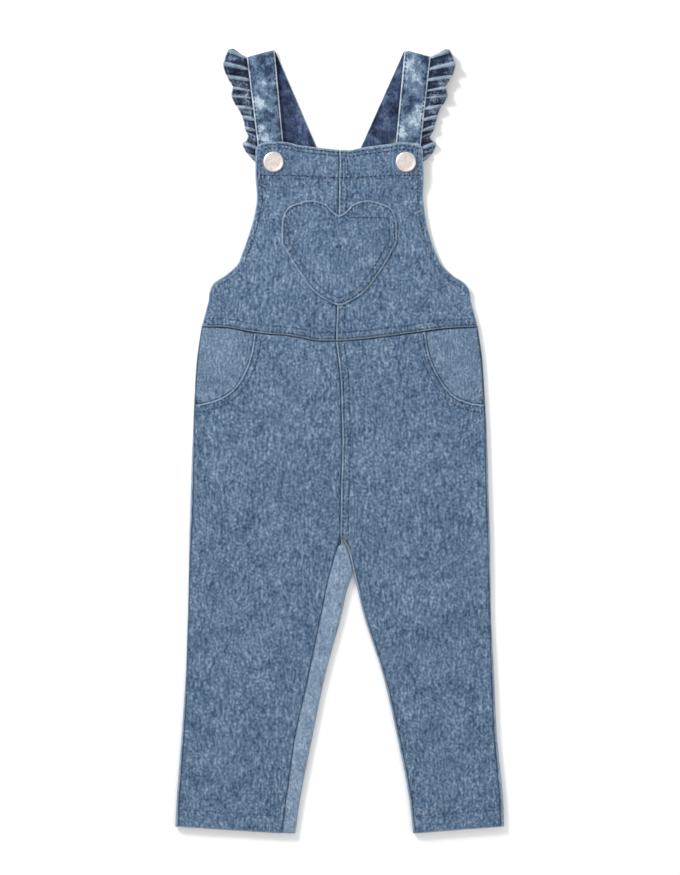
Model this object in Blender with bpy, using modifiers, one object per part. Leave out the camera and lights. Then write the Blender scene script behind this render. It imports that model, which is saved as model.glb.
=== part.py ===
"""Kids dungarees lying flat on their back, front up, on the plane z = 0.

Frame: +X to the right of the garment as it is seen from above, +Y towards the
straps, +Z up, origin under the middle of its box.  Tables are in millimetres.
"""
import math

import bpy
from mathutils import Vector

# ---- driving dimensions, millimetres -------------------------------------
MM = 0.001
PANEL = 1.2             # wall of a body panel
PLY = 1.0               # wall of a strap ply, frill, facing or patch
SEAM = 0.3              # gap kept between two pieces
LOFT = 5.0              # height of the flattened body and legs
WAIST_Y = 97.3          # waist seam at the sides
POCKET_Y = 30.6         # hip pocket opening at the side seam
POCKET_INNER_Y = 18.0   # level of the centre seam matched with the pocket's end
CROTCH_Y = -83.0
CROTCH_DIP = 1.6        # fall of the front panels at the crotch
HEM_OUTER_Y = -327.8
HEM_INNER_Y = -333.4
ARMHOLE_Y = 129.2       # top of the side seam
BIB_TOP_Y = 251.4       # top corner of the bib
SEAM_INSET = 1.0        # side seam of the bib, in from the outline
ARMHOLE_DROOP = 1.4     # fall of the front bib at its free edges
FACING_UNDER = 9.0      # how far the pocket facing runs under the leg
FAR = 500.0             # an outline too far away to round a panel's edge
SNAP_Y = 236.8
SNAP_X = 56.2
SNAP_RADIUS = 8.8
CORNER_HEIGHT = 7.0     # top of the bib where it lies on the strap's end
FOLD_RADIUS = {"outer": 2.25, "lining": 0.85}
FOLD_HEIGHT = 2.75      # axis of the shoulder fold above the floor
STRAP_DROP = 2.8        # fall of the strap's front end under the bib
DROP_FROM = 72.5        # where the fall starts, from the shoulder fold
DROP_LENGTH = 13.0

# Seam down the middle of the front: y, x
CENTRE = ((251, 0.2), (114, -2.3), (86, -3.0), (70, -1.1), (25, 1.6), (0, 2.3), (-53, 0.9), (-83, 0.6))
# Waist seam: x, y
WAIST = ((-118, 97.4), (-95, 96.6), (-62, 91.2), (-30, 87.5), (-3, 85.3), (22, 86.9), (65, 92.3),
         (87, 95.5), (118, 97.3))
# Top edge of the bib: x, y
BIB_TOP = ((-70, 251.2), (-63, 253.3), (-54, 254.1), (-45, 253.6), (-34, 251.2), (-14, 248.8), (0, 247.4),
           (10, 247.0), (20, 249.0), (43, 251.5), (52, 253.0), (64, 251.7), (69, 250.0))
# Legs, a row for each level: y, outline, side seam, inseam, inner outline
LEG_COLUMNS = ("y", "outer", "side", "inseam", "inner")
LEG_LEVELS = {
    "left": (
        (98, -117.4, -116.4, 0.0, 0.0),
        (70, -121.4, -120.3, 0.0, 0.0),
        (40, -123.4, -122.3, 0.0, 0.0),
        (10, -124.6, -123.4, 0.0, 0.0),
        (-20, -125.8, -124.0, 0.0, 0.0),
        (-50, -126.8, -124.6, 0.0, 0.0),
        (-83, -127.8, -126.0, 0.3, 2.0),
        (-92, -127.9, -126.6, -2.6, 6.3),
        (-111, -128.3, -127.2, -8.0, 10.9),
        (-128, -128.7, -127.6, -12.0, 5.9),
        (-153, -129.3, -128.2, -17.0, 0.3),
        (-200, -131.0, -129.7, -26.6, -12.4),
        (-250, -134.4, -132.2, -37.6, -22.8),
        (-300, -138.3, -136.0, -44.8, -32.8),
        (-334, -140.1, -136.9, -49.4, -37.7),
    ),
    "right": (
        (98, 117.4, 116.4, 0.0, 0.0),
        (70, 121.3, 120.2, 0.0, 0.0),
        (40, 123.4, 122.3, 0.0, 0.0),
        (10, 125.0, 123.8, 0.0, 0.0),
        (-20, 126.0, 124.2, 0.0, 0.0),
        (-50, 126.8, 125.0, 0.0, 0.0),
        (-83, 127.9, 126.1, 4.4, 2.6),
        (-92, 128.0, 126.3, 9.0, 7.2),
        (-111, 128.2, 126.7, 13.6, 11.7),
        (-128, 128.4, 127.2, 17.6, 15.6),
        (-153, 128.9, 127.7, 23.8, 21.8),
        (-200, 131.3, 129.3, 38.9, 37.0),
        (-250, 133.7, 131.3, 50.5, 48.6),
        (-300, 138.7, 135.8, 60.3, 58.4),
        (-334, 140.1, 137.4, 64.4, 62.5),
    ),
}
# Scooped edge of the hip pocket opening, from the waist towards its end on the
# side seam at POCKET_Y: x, y
POCKET_EDGE = {
    "left": ((-72.2, 92.6), (-74.6, 76.8), (-78.4, 63.8), (-85.0, 50.8), (-92.8, 41.7), (-101.5, 36.2),
             (-111.5, 32.8)),
    "right": ((72.6, 93.0), (75.1, 76.8), (80.0, 62.8), (87.6, 49.0), (95.6, 39.6), (104.5, 34.4),
              (113.5, 31.8)),
}
# Outline of the front bib from the waist to its top corner: y, x left, x right
BIB_SIDE = ((97.3, -117.4, 117.4), (108.5, -114.4, 114.4), (119.4, -111.5, 111.5), (129.2, -109.8, 109.8),
            (135.7, -105.5, 104.4), (140.6, -97.4, 96.4), (149.8, -87.1, 87.0), (159, -83.0, 82.2),
            (172, -78.4, 77.2), (189, -73.2, 73.2), (206, -70.4, 71.0), (224, -71.4, 71.3), (242, -71.4, 70.7),
            (247.4, -71.2, 70.5), (251.4, -69.6, 68.8))
# Back bib, hidden under the front: y, half width
BACK_BIB_SIDE = ((97.3, 117.4), (108.5, 114.4), (119.4, 111.5), (129.2, 109.8), (136, 99.0), (146, 84.0),
                 (162, 67.0), (184, 50.0), (211, 34.0))
BACK_BIB_PEAK = 8.9     # rise of its top edge from the corners to the middle
# Heart pocket's right half, round from the dip between the lobes to the tip: x, y
HEART = ((0.0, 191.6), (4.0, 193.4), (7.6, 196.8), (10.8, 200.5), (15.2, 202.6), (21.0, 204.1),
         (27.6, 204.1), (34.6, 202.0), (40.8, 199.8), (44.6, 196.8), (47.3, 191.6), (48.7, 184.8),
         (49.0, 172.0), (48.4, 167.6), (45.4, 162.6), (41.0, 154.2), (36.2, 146.4), (30.4, 138.0),
         (24.6, 130.2), (18.2, 124.2), (11.0, 119.6), (4.4, 116.2), (0.0, 115.1))
# Straps: where the middle of the shoulder fold is, the fold's tilt, the lean of
# the front part from the fold's square, half widths at the bib and at the fold
STRAPS = {
    "left": {"fold": (-66.9, 329.3), "tilt": 14.7, "lean": -8.5, "half": (10.9, 12.1)},
    "right": {"fold": (66.1, 329.4), "tilt": -15.0, "lean": 9.1, "half": (10.6, 11.3)},
}
STRAP_FRONT = 103.5     # from the fold to the strap's front end
STRAP_BACK = 120.2      # from the fold to the back bib
# Frills, a row for each fold: distance from the shoulder fold along the strap's
# edge (the front is positive), free edge x and y, height of the free edge
FRILL_COLUMNS = ("along", "x", "y", "z")
FRILLS = {
    "left": (
        (90, -72.6, 239.2, 1.2), (86, -77.6, 243.6, 1.6), (80, -81.9, 250.6, 3.2), (76, -81.2, 254.4, 1.4),
        (72, -77.8, 258.2, 3.6), (67, -78.9, 262.6, 2.0), (60, -80.8, 267.6, 4.4), (53, -82.3, 275.6, 2.4),
        (46, -85.6, 281.8, 5.6), (39, -89.6, 288.0, 3.6), (33, -92.1, 294.6, 7.0), (28, -91.6, 300.4, 4.2),
        (23, -93.2, 305.2, 7.8), (17, -96.8, 311.8, 5.0), (11, -98.6, 319.0, 8.0), (5, -97.2, 326.2, 6.4),
        (1, -94.4, 331.0, 5.6), (-3, -90.6, 333.4, 2.6), (-10, -87.6, 326.0, 0.8), (-18, -83.6, 315.0, 0.8),
        (-27, -78.4, 303.5, 0.8), (-34, -73.6, 291.6, 0.8),
    ),
    "right": (
        (90, 72.4, 239.2, 1.2), (86, 77.4, 243.2, 1.6), (80, 81.2, 250.0, 3.2), (76, 80.6, 254.6, 1.4),
        (72, 76.6, 258.2, 3.4), (67, 78.9, 262.6, 2.0), (60, 81.4, 269.0, 4.6), (53, 82.8, 275.6, 2.4),
        (46, 85.4, 282.6, 5.2), (39, 89.4, 288.6, 3.4), (33, 92.0, 294.6, 6.8), (28, 91.2, 300.4, 4.4),
        (23, 92.8, 305.6, 7.4), (17, 96.2, 311.4, 4.8), (11, 98.1, 319.0, 8.2), (5, 96.6, 326.0, 6.0),
        (1, 93.6, 330.6, 6.0), (-3, 90.4, 332.8, 2.6), (-10, 87.2, 325.6, 0.8), (-18, 83.0, 314.6, 0.8),
        (-27, 77.8, 303.2, 0.8), (-34, 73.0, 291.4, 0.8),
    ),
}
# Snap cap's half profile: radius, height above its base
CAP_PROFILE = ((0.0, 1.5), (5.8, 1.6), (6.6, 2.0), (7.6, 2.1), (8.5, 1.7), (8.8, 0.9), (8.4, 0.0), (0.0, 0.0))
SOCKET_PROFILE = ((0.0, 2.5), (5.2, 2.5), (5.5, 2.1), (5.5, 0.4), (5.2, 0.0), (0.0, 0.0))
SOCKET_BASE = 3.0       # just above the strap's front end

DENIM = {
    "panel": ((0.125, 0.200, 0.300, 1), 0.90),
    "light": ((0.160, 0.230, 0.330, 1), 0.90),
    "strap": ((0.110, 0.170, 0.265, 1), 0.90),
    "indigo": ((0.032, 0.055, 0.110, 1), 0.92),
}


# ---- small helpers --------------------------------------------------------
def smooth(t):
    """Ease from 0 to 1 as t goes from 0 to 1."""
    t = min(max(t, 0.0), 1.0)
    return t * t * (3 - 2 * t)


def lerp(a, b, t):
    return a + (b - a) * t


def table(rows, key, column=1):
    """Value in a column at key, straight between rows, held past the ends."""
    rows = sorted(rows)
    if key <= rows[0][0]:
        return rows[0][column]
    for low, high in zip(rows, rows[1:]):
        if key <= high[0]:
            return lerp(low[column], high[column], (key - low[0]) / (high[0] - low[0]))
    return rows[-1][column]


def leg(side, name, y):
    """A named column of the leg's table at a level."""
    return table(LEG_LEVELS[side], y, LEG_COLUMNS.index(name))


def steps(start, end, count):
    """Evenly spaced values, the first left out."""
    return [lerp(start, end, i / count) for i in range(1, count + 1)]


def make_material(name, colour, roughness, metallic=0.0):
    material = bpy.data.materials.new(name)
    material.use_nodes = True
    shader = material.node_tree.nodes["Principled BSDF"]
    shader.inputs["Base Color"].default_value = colour
    shader.inputs["Roughness"].default_value = roughness
    shader.inputs["Metallic"].default_value = metallic
    material.diffuse_color = colour
    return material


def add_object(name, points, faces, material):
    """Mesh object from points in millimetres."""
    mesh = bpy.data.meshes.new(name)
    mesh.from_pydata([Vector(p) * MM for p in points], [], faces)
    mesh.materials.append(material)
    mesh.shade_smooth()
    obj = bpy.data.objects.new(name, mesh)
    parts.objects.link(obj)
    return obj


def denim(name, finish):
    colour, roughness = DENIM[finish]
    return make_material(name, colour, roughness)


def grid_faces(rows, columns, start=0, flip=False):
    """Quads of a grid of points stored row by row."""
    faces = []
    for r in range(rows - 1):
        for c in range(columns - 1):
            a = start + r * columns + c
            quad = (a, a + 1, a + columns + 1, a + columns)
            faces.append(quad[::-1] if flip else quad)
    return faces


def wall(name, rows, finish, thickness, flip=False):
    """Closed wall lofted through rows of (point, outward normal): the outer skin
    goes through the points and the inner one lies a thickness inside it, so two
    panels that share a seam keep the same gap on both skins."""
    count, columns = len(rows), len(rows[0])
    outer = [p for row in rows for p, n in row]
    inner = [Vector(p) - Vector(n) * thickness for row in rows for p, n in row]
    size = count * columns
    faces = grid_faces(count, columns, 0, flip) + grid_faces(count, columns, size, not flip)
    rim = list(range(columns)) + [r * columns + columns - 1 for r in range(1, count)]
    rim += [(count - 1) * columns + c for c in range(columns - 2, -1, -1)]
    rim += [r * columns for r in range(count - 2, 0, -1)]
    for a, b in zip(rim, rim[1:] + rim[:1]):
        side = (b, a, a + size, b + size)
        faces.append(side[::-1] if flip else side)
    return add_object(name, outer + inner, faces, denim(name, finish))


def sheet(name, rows, finish, thickness, offset=0.0, flip=False):
    """Open grid of points given its thickness by Solidify."""
    points = [p for row in rows for p in row]
    obj = add_object(name, points, grid_faces(len(rows), len(rows[0]), 0, flip), denim(name, finish))
    solid = obj.modifiers.new("Wall", "SOLIDIFY")
    solid.thickness = thickness * MM
    solid.offset = offset
    return obj


# ---- heights of the flattened garment -------------------------------------
def crown(x, left, right):
    """Height and normal of the upper skin, rounded down at the outline."""
    radius = LOFT / 2
    depth = min(x - left, right - x)
    if depth >= radius:
        return LOFT, (0.0, 0.0, 1.0)
    lean = (radius - depth) / radius
    rise = math.sqrt(1 - lean * lean)
    side = -1.0 if x - left < right - x else 1.0
    return radius * (1 + rise), (side * lean, 0.0, rise)


def bib_height(x, y):
    """Upper skin of the front bib: droops at the armholes, lifts over the straps."""
    column = 1 if x < 0 else 2
    inset = abs(table(BIB_SIDE, y, column)) - abs(x)
    droop = ARMHOLE_DROOP * (1 - smooth(inset / 14)) * smooth((y - ARMHOLE_Y) / 12)
    beyond_x = max(46 - abs(x), 0.0)
    beyond_y = max(226 - y, 0.0)
    lift = 1 - smooth(math.hypot(beyond_x, beyond_y) / 16)
    return lerp(LOFT - droop, CORNER_HEIGHT, lift)


def waist_y(x):
    return table(WAIST, x)


def back_waist_y(x):
    """Straight from the side seams to the middle."""
    return lerp(waist_y(0), WAIST_Y, abs(x) / BIB_SIDE[0][2])


# ---- legs -----------------------------------------------------------------
BODY_ROWS = list(zip(steps(POCKET_Y, CROTCH_Y, 5), steps(POCKET_INNER_Y, CROTCH_Y + 1.5, 5)))
LEG_ROWS = list(zip(steps(CROTCH_Y, HEM_OUTER_Y, 11), steps(CROTCH_Y - 1.2, HEM_INNER_Y, 11)))
LEG_ROWS.insert(0, (CROTCH_Y - 5.0, CROTCH_Y - 9.0))


def inner_edge(side, y):
    """Front panel's edge: the centre seam above the crotch, the inseam below."""
    x = table(CENTRE, y) if y > CROTCH_Y else leg(side, "inseam", y)
    return x - SEAM / 2 if side == "left" else x + SEAM / 2


def front_row(side, outer, inner, bow=0.0):
    """Row of a front leg panel between two plan points, bowed to the waist seam."""
    sign = -1 if side == "left" else 1
    y_outer, y_inner = outer[1], inner[1]
    outline = leg(side, "outer", y_outer)
    split = y_inner < CROTCH_Y
    inside = leg(side, "inner", y_inner) if split else -sign * FAR
    left, right = (outline, inside) if side == "left" else (inside, outline)
    span = inner[0] - outer[0]
    ends = [0.0, 0.9, 2.4]
    middle = [0.27, 0.5, 0.73]
    places = [-sign * e for e in ends] + [span * m for m in middle] + [span + sign * e for e in ends[::-1]]
    row = []
    for place in places:
        x = outer[0] + place
        t = place / span
        y = lerp(y_outer, y_inner, t)
        y += bow * (waist_y(x) - SEAM / 2 - lerp(waist_y(outer[0]), waist_y(inner[0]), t))
        z, normal = crown(x, left, right)
        dip = CROTCH_DIP * (1 - smooth(math.hypot(x - inner_edge(side, CROTCH_Y + 1), y - CROTCH_Y) / 14))
        row.append(((x, y, z - dip), normal))
    return row


def pocket_scoop(side):
    """The pocket edge with its end on the side seam."""
    sign = -1 if side == "left" else 1
    return list(POCKET_EDGE[side]) + [(leg(side, "side", POCKET_Y) - sign * SEAM / 2, POCKET_Y)]


def front_leg(side):
    sign = -1 if side == "left" else 1
    scoop = pocket_scoop(side)
    inner_y = [waist_y(0) - SEAM] + steps(waist_y(0), POCKET_INNER_Y, len(scoop) - 1)
    rows = []
    for i, (x, y) in enumerate(scoop):
        bow = max(1 - i / 2, 0.0)
        top = min(y, waist_y(x) - SEAM / 2)
        rows.append(front_row(side, (x, top), (inner_edge(side, inner_y[i]), inner_y[i]), bow))
    for y_outer, y_inner in BODY_ROWS + LEG_ROWS:
        outer = (leg(side, "side", y_outer) - sign * SEAM / 2, y_outer)
        rows.append(front_row(side, outer, (inner_edge(side, y_inner), y_inner)))
    wall("front_leg_" + side, rows, "panel", PANEL, flip=side == "left")


def edge_run(outline, seam, sign, wrapped, straight, count):
    """Section of a panel from its seam round the outline to the floor, as
    (x, z, normal x, normal z): a straight run on top, then the rounded edge."""
    radius = LOFT / 2
    if not wrapped:
        reach = 6.0
        return [(outline - sign * reach * i / (straight + count), 0.0, 0.0, -1.0)
                for i in range(straight + count + 1)]
    depth = abs(outline - seam)
    start = math.pi / 2 if depth >= radius else math.asin(math.sqrt(1 - ((radius - depth) / radius) ** 2))
    run = []
    centre = outline - sign * radius
    if depth > radius:
        run = [(lerp(seam, centre, i / straight), LOFT, 0.0, 1.0) for i in range(straight)]
        turns = count
    else:
        turns = count + straight
    for i in range(turns + 1):
        angle = lerp(start, -math.pi / 2, i / turns)
        c, s = math.cos(angle), math.sin(angle)
        run.append((centre + sign * radius * c, radius + radius * s, sign * c, s))
    return run


def back_leg(side):
    """Back panel: flat on the floor, round the outer edge to the side seam, and
    below the crotch round the inner edge to the inseam as well."""
    sign = -1 if side == "left" else 1
    rows = []
    top = [(WAIST_Y, waist_y(0))] + list(zip(steps(WAIST_Y, POCKET_Y, 3), steps(waist_y(0), POCKET_INNER_Y, 3)))
    levels = top + BODY_ROWS + LEG_ROWS
    levels[len(top) + len(BODY_ROWS) - 1] = (CROTCH_Y, CROTCH_Y + 3.2)
    for index, (y_outer, y_inner) in enumerate(levels):
        wrapped = y_inner < CROTCH_Y
        seam = leg(side, "side", y_outer) + sign * SEAM / 2
        outer = edge_run(leg(side, "outer", y_outer), seam, sign, True, 1, 4)
        if wrapped:
            edge = leg(side, "inner", y_inner)
            seam_in = leg(side, "inseam", y_inner) - sign * SEAM / 2
            first = index == len(top) + len(BODY_ROWS)
            inner = edge_run(edge, edge if first else seam_in, -sign, True, 1, 4)
            if first:
                inner = [(x, min(z, LOFT / 2), nx, nz) for x, z, nx, nz in inner]
        else:
            inner = edge_run(0.6 + sign * SEAM / 2, 0, -sign, False, 1, 4)
        flat = [(lerp(outer[-1][0], inner[-1][0], t), 0.0, 0.0, -1.0) for t in (0.2, 0.4, 0.6, 0.8)]
        x_out, x_in = outer[-1][0], inner[-1][0]
        row = []
        for x, z, nx, nz in outer + flat + inner[::-1]:
            t = min(max((x - x_out) / (x_in - x_out), 0.0), 1.0)
            y = lerp(y_outer, y_inner, t)
            if index == 0:
                y = back_waist_y(x) - SEAM / 2
            row.append(((x, y, z), (nx, 0.0, nz)))
        rows.append(row)
    wall("back_leg_" + side, rows, "light", PANEL, flip=side == "right")


def hip_facing(side):
    """Pocket facing that shows inside the scoop and runs on under the leg."""
    sign = -1 if side == "left" else 1
    top = LOFT - PANEL - SEAM
    rows = []
    scoop = pocket_scoop(side)
    for i, (x, y) in enumerate(scoop):
        t = i / (len(scoop) - 1)
        y_outer = lerp(WAIST_Y - 1.0, POCKET_Y + 1.2, t)
        x_outer = leg(side, "side", y_outer) - sign * (1.6 + 1.8 * t * t)
        x_inner = x - sign * FACING_UNDER * (1 - 0.55 * t * t)
        y_inner = y - FACING_UNDER * t - 1.0 * (1 - t)
        row = []
        for u in (0.0, 0.35, 0.7, 1.0):
            place = lerp(x_outer, x_inner, u)
            level = lerp(y_outer, y_inner, u ** (1 + 0.6 * t))
            if i == 0:
                level = waist_y(place) - SEAM
            row.append(((place, level, top), (0.0, 0.0, 1.0)))
        rows.append(row)
    wall("hip_facing_" + side, rows, "light", PLY, flip=side == "left")


# ---- bib ------------------------------------------------------------------
def front_bib(side):
    column = 1 if side == "left" else 2
    sign = -1 if side == "left" else 1
    rows = []
    last = len(BIB_SIDE) - 1
    for index, level in enumerate(BIB_SIDE):
        y_outer, outline = level[0], level[column]
        share = (y_outer - WAIST_Y) / (BIB_TOP_Y - WAIST_Y)
        y_inner = lerp(waist_y(0), table(BIB_TOP, 0), share)
        seamed = y_outer < ARMHOLE_Y - 1
        x_outer = outline - sign * (SEAM_INSET + SEAM / 2 if seamed else 0.0)
        x_inner = table(CENTRE, y_inner) + sign * SEAM / 2
        row = []
        for t in (0.0, 0.02, 0.06, 0.18, 0.36, 0.52, 0.68, 0.84, 1.0):
            x = lerp(x_outer, x_inner, t)
            y = lerp(y_outer, y_inner, t)
            low = waist_y(x) + SEAM / 2 - lerp(waist_y(x_outer), waist_y(x_inner), t)
            high = table(BIB_TOP, x) - lerp(table(BIB_TOP, x_outer), table(BIB_TOP, x_inner), t)
            y += low * max(1 - index / 3, 0.0) + high * max(1 - (last - index) / 4, 0.0)
            if seamed:
                z, normal = crown(x, *((outline, FAR) if side == "left" else (-FAR, outline)))
            else:
                z, normal = bib_height(x, y_outer), (0.0, 0.0, 1.0)
            row.append(((x, y, z), normal))
        rows.append(row)
    wall("front_bib_" + side, rows, "panel", PANEL, flip=side == "right")


def back_bib():
    """Hidden back of the bib: round both sides up to the side seams as far as the
    armholes, then flat, tapering to the straps."""
    rows = []
    last = len(BACK_BIB_SIDE) - 1
    for index, (y, half) in enumerate(BACK_BIB_SIDE):
        wrapped = y < ARMHOLE_Y - 1
        left = edge_run(-half, SEAM_INSET - SEAM / 2 - half, -1, wrapped, 1, 4)
        right = edge_run(half, half - SEAM_INSET + SEAM / 2, 1, wrapped, 1, 4)
        flat = [(lerp(left[-1][0], right[-1][0], t), 0.0, 0.0, -1.0) for t in (0.2, 0.4, 0.5, 0.6, 0.8)]
        row = []
        for x, z, nx, nz in left + flat + right[::-1]:
            level = y
            if index == 0:
                level = back_waist_y(x) + SEAM / 2
            if index == last:
                level += BACK_BIB_PEAK * (1 - abs(x) / half)
            row.append(((x, level, z), (nx, 0.0, nz)))
        rows.append(row)
    wall("back_bib", rows, "light", PANEL, flip=True)


def heart_pocket():
    """Patch pocket made from the bib's own heights, moved out."""
    half = list(HEART)
    mirrored = [(-x, y) for x, y in half[-2:0:-1]]
    outline = half + mirrored
    middle = Vector((0.0, 164.0))
    points = []
    rings = (0.35, 0.7, 1.0)
    for ring in rings:
        for x, y in outline:
            spot = middle.lerp(Vector((x - 0.3, y)), ring)
            points.append((spot.x, spot.y, bib_height(spot.x, spot.y) + SEAM))
    points.append((middle.x, middle.y, bib_height(middle.x, middle.y) + SEAM))
    count = len(outline)
    faces = []
    for i in range(count):
        j = (i + 1) % count
        faces.append((len(points) - 1, j, i))
        for ring in range(len(rings) - 1):
            a = ring * count
            faces.append((a + i, a + j, a + count + j, a + count + i))
    obj = add_object("heart_pocket", points, faces, denim("heart_pocket", "panel"))
    solid = obj.modifiers.new("Wall", "SOLIDIFY")
    solid.thickness = PLY * MM
    solid.offset = 1.0


# ---- straps, frills and snaps ---------------------------------------------
def strap_frame(side):
    """Unit vectors along and across the shoulder fold, and the middle of the fold."""
    spec = STRAPS[side]
    tilt = math.radians(spec["tilt"])
    along = Vector((math.cos(tilt), math.sin(tilt)))
    down = Vector((math.sin(tilt), -math.cos(tilt)))
    return Vector(spec["fold"]), along, down


def strap_point(side, share, distance, ply):
    """Point on a ply: share runs from -1 to 1 across the strap from left to right,
    distance from the fold is positive to the front and negative to the back."""
    spec = STRAPS[side]
    fold, along, down = strap_frame(side)
    radius = FOLD_RADIUS[ply]
    lean = math.radians(spec["lean"])
    half = lerp(spec["half"][1], spec["half"][0], min(max(distance, 0.0) / 77, 1.0))
    across = math.tan(lean) * distance + share * half / math.cos(lean)
    turn = radius * math.pi / 2
    if abs(distance) < turn:
        angle = distance / radius
        reach, z = -radius * math.cos(angle), FOLD_HEIGHT + radius * math.sin(angle)
    else:
        reach = abs(distance) - turn
        z = FOLD_HEIGHT + math.copysign(radius, distance)
    axis = fold + down * FOLD_RADIUS["outer"]
    spot = axis + along * across + down * reach
    if distance > 0:
        z -= STRAP_DROP * smooth((reach - DROP_FROM) / DROP_LENGTH)
    return Vector((spot.x, spot.y, z))


def strap_distances(ply):
    """Rows along the strap: close together at the fold and where it drops."""
    turn = FOLD_RADIUS[ply] * math.pi / 2
    drop = [DROP_FROM + DROP_LENGTH * t for t in (1.0, 0.66, 0.33, 0.0)]
    front = [turn + reach for reach in [STRAP_FRONT] + drop + [48.0, 24.0]]
    fold = [turn * t for t in (1.0, 0.6, 0.2, -0.2, -0.6, -1.0)]
    back = [-turn - reach for reach in (20.0, 48.0, 80.0, STRAP_BACK)]
    return front + fold + back


def strap(side, ply, name, finish):
    rows = [[strap_point(side, share, d, ply) for share in (-1.0, 0.0, 1.0)] for d in strap_distances(ply)]
    sheet(name + side, rows, finish, PLY, flip=False)


def frill_row(side, distance):
    """One gather of the frill: from just off the strap's edge to the free edge."""
    sign = -1 if side == "left" else 1
    outer = strap_point(side, sign, distance, "outer")
    lining = strap_point(side, sign, distance, "lining")
    base = (outer + lining) / 2
    free = Vector([table(FRILLS[side], distance, column) for column in (1, 2, 3)])
    away = Vector((free.x - base.x, free.y - base.y, 0.0)).normalized()
    base += away * (SEAM + 0.3)
    flat = lerp(base.z, free.z, 0.5)
    middle = base.lerp(free, 0.5)
    middle.z = flat
    return [base, base.lerp(free, 0.25), middle, free]


def frill(side):
    marks = [row[0] for row in FRILLS[side]]
    places = []
    for a, b in zip(marks, marks[1:]):
        places += [a, lerp(a, b, 0.5)]
    places.append(marks[-1])
    rows = [frill_row(side, distance) for distance in places]
    sheet("frill_" + side, rows, "indigo", PLY, flip=side == "right")


def turned(name, profile, x, y, base, colour, segments):
    """Round metal piece turned from its half profile."""
    points = [(r, 0.0, z) for r, z in profile]
    mesh = bpy.data.meshes.new(name)
    mesh.from_pydata([Vector(p) * MM for p in points], [(i, i + 1) for i in range(len(points) - 1)], [])
    mesh.materials.append(make_material(name, colour, 0.32, 1.0))
    obj = bpy.data.objects.new(name, mesh)
    parts.objects.link(obj)
    obj.location = Vector((x, y, base)) * MM
    screw = obj.modifiers.new("Turn", "SCREW")
    screw.steps = segments
    screw.render_steps = segments
    screw.use_merge_vertices = True
    screw.merge_threshold = 0.00001
    screw.use_smooth_shade = True
    return obj


def snap(side):
    sign = -1 if side == "left" else 1
    x = sign * SNAP_X
    turned("snap_cap_" + side, CAP_PROFILE, x, SNAP_Y, CORNER_HEIGHT + SEAM, (0.78, 0.72, 0.70, 1), 28)
    turned("snap_socket_" + side, SOCKET_PROFILE, x, SNAP_Y, SOCKET_BASE, (0.60, 0.58, 0.56, 1), 16)


for old in list(bpy.data.objects):
    bpy.data.objects.remove(old, do_unlink=True)
parts = bpy.data.collections.new("kids_dungarees")
bpy.context.scene.collection.children.link(parts)

back_bib()
heart_pocket()
for garment_side in ("left", "right"):
    front_bib(garment_side)
    front_leg(garment_side)
    back_leg(garment_side)
    hip_facing(garment_side)
    strap(garment_side, "outer", "strap_", "strap")
    strap(garment_side, "lining", "strap_lining_", "indigo")
    frill(garment_side)
    snap(garment_side)
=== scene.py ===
import math

import bpy
import bmesh
import numpy as np
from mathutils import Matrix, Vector, noise


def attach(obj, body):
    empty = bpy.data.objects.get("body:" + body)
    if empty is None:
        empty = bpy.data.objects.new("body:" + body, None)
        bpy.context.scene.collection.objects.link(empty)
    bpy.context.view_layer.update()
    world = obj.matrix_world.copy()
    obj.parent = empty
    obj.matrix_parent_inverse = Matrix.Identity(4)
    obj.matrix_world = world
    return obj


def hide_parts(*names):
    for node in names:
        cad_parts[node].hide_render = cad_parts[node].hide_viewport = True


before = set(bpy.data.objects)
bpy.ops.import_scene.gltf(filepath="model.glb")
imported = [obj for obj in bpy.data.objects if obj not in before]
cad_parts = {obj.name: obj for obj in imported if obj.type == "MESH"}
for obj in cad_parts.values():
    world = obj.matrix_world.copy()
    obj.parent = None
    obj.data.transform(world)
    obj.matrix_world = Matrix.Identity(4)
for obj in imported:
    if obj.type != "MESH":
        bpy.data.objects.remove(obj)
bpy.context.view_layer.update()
mm = 0.001
loft = 5.0  # height of the flattened garment
print("frame loaded")

# plan curves of the garment in millimetres, the same ones that its solids follow
centreSeam = ((0.2, 251), (-1.2, 180), (-2.3, 114), (-3.0, 86), (-1.1, 70), (0.9, 50),
              (1.6, 25), (2.3, 0), (1.6, -27), (0.9, -53), (0.6, -83))
waistSeam = ((-118, 97.4), (-95, 96.6), (-78, 93.4), (-62, 91.2), (-46, 90.1), (-30, 87.5),
             (-21, 85.5), (-3, 85.3), (9, 85.9), (22, 86.9), (44, 89.6), (65, 92.3),
             (87, 95.5), (118, 97.3))
bibTop = ((-70, 251.2), (-63, 253.3), (-54, 254.1), (-45, 253.6), (-34, 251.2), (-14, 248.8), (0, 247.4),
          (10, 247.0), (20, 249.0), (30, 250.2), (43, 251.5), (52, 253.0), (64, 251.7), (69, 250.0))
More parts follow.
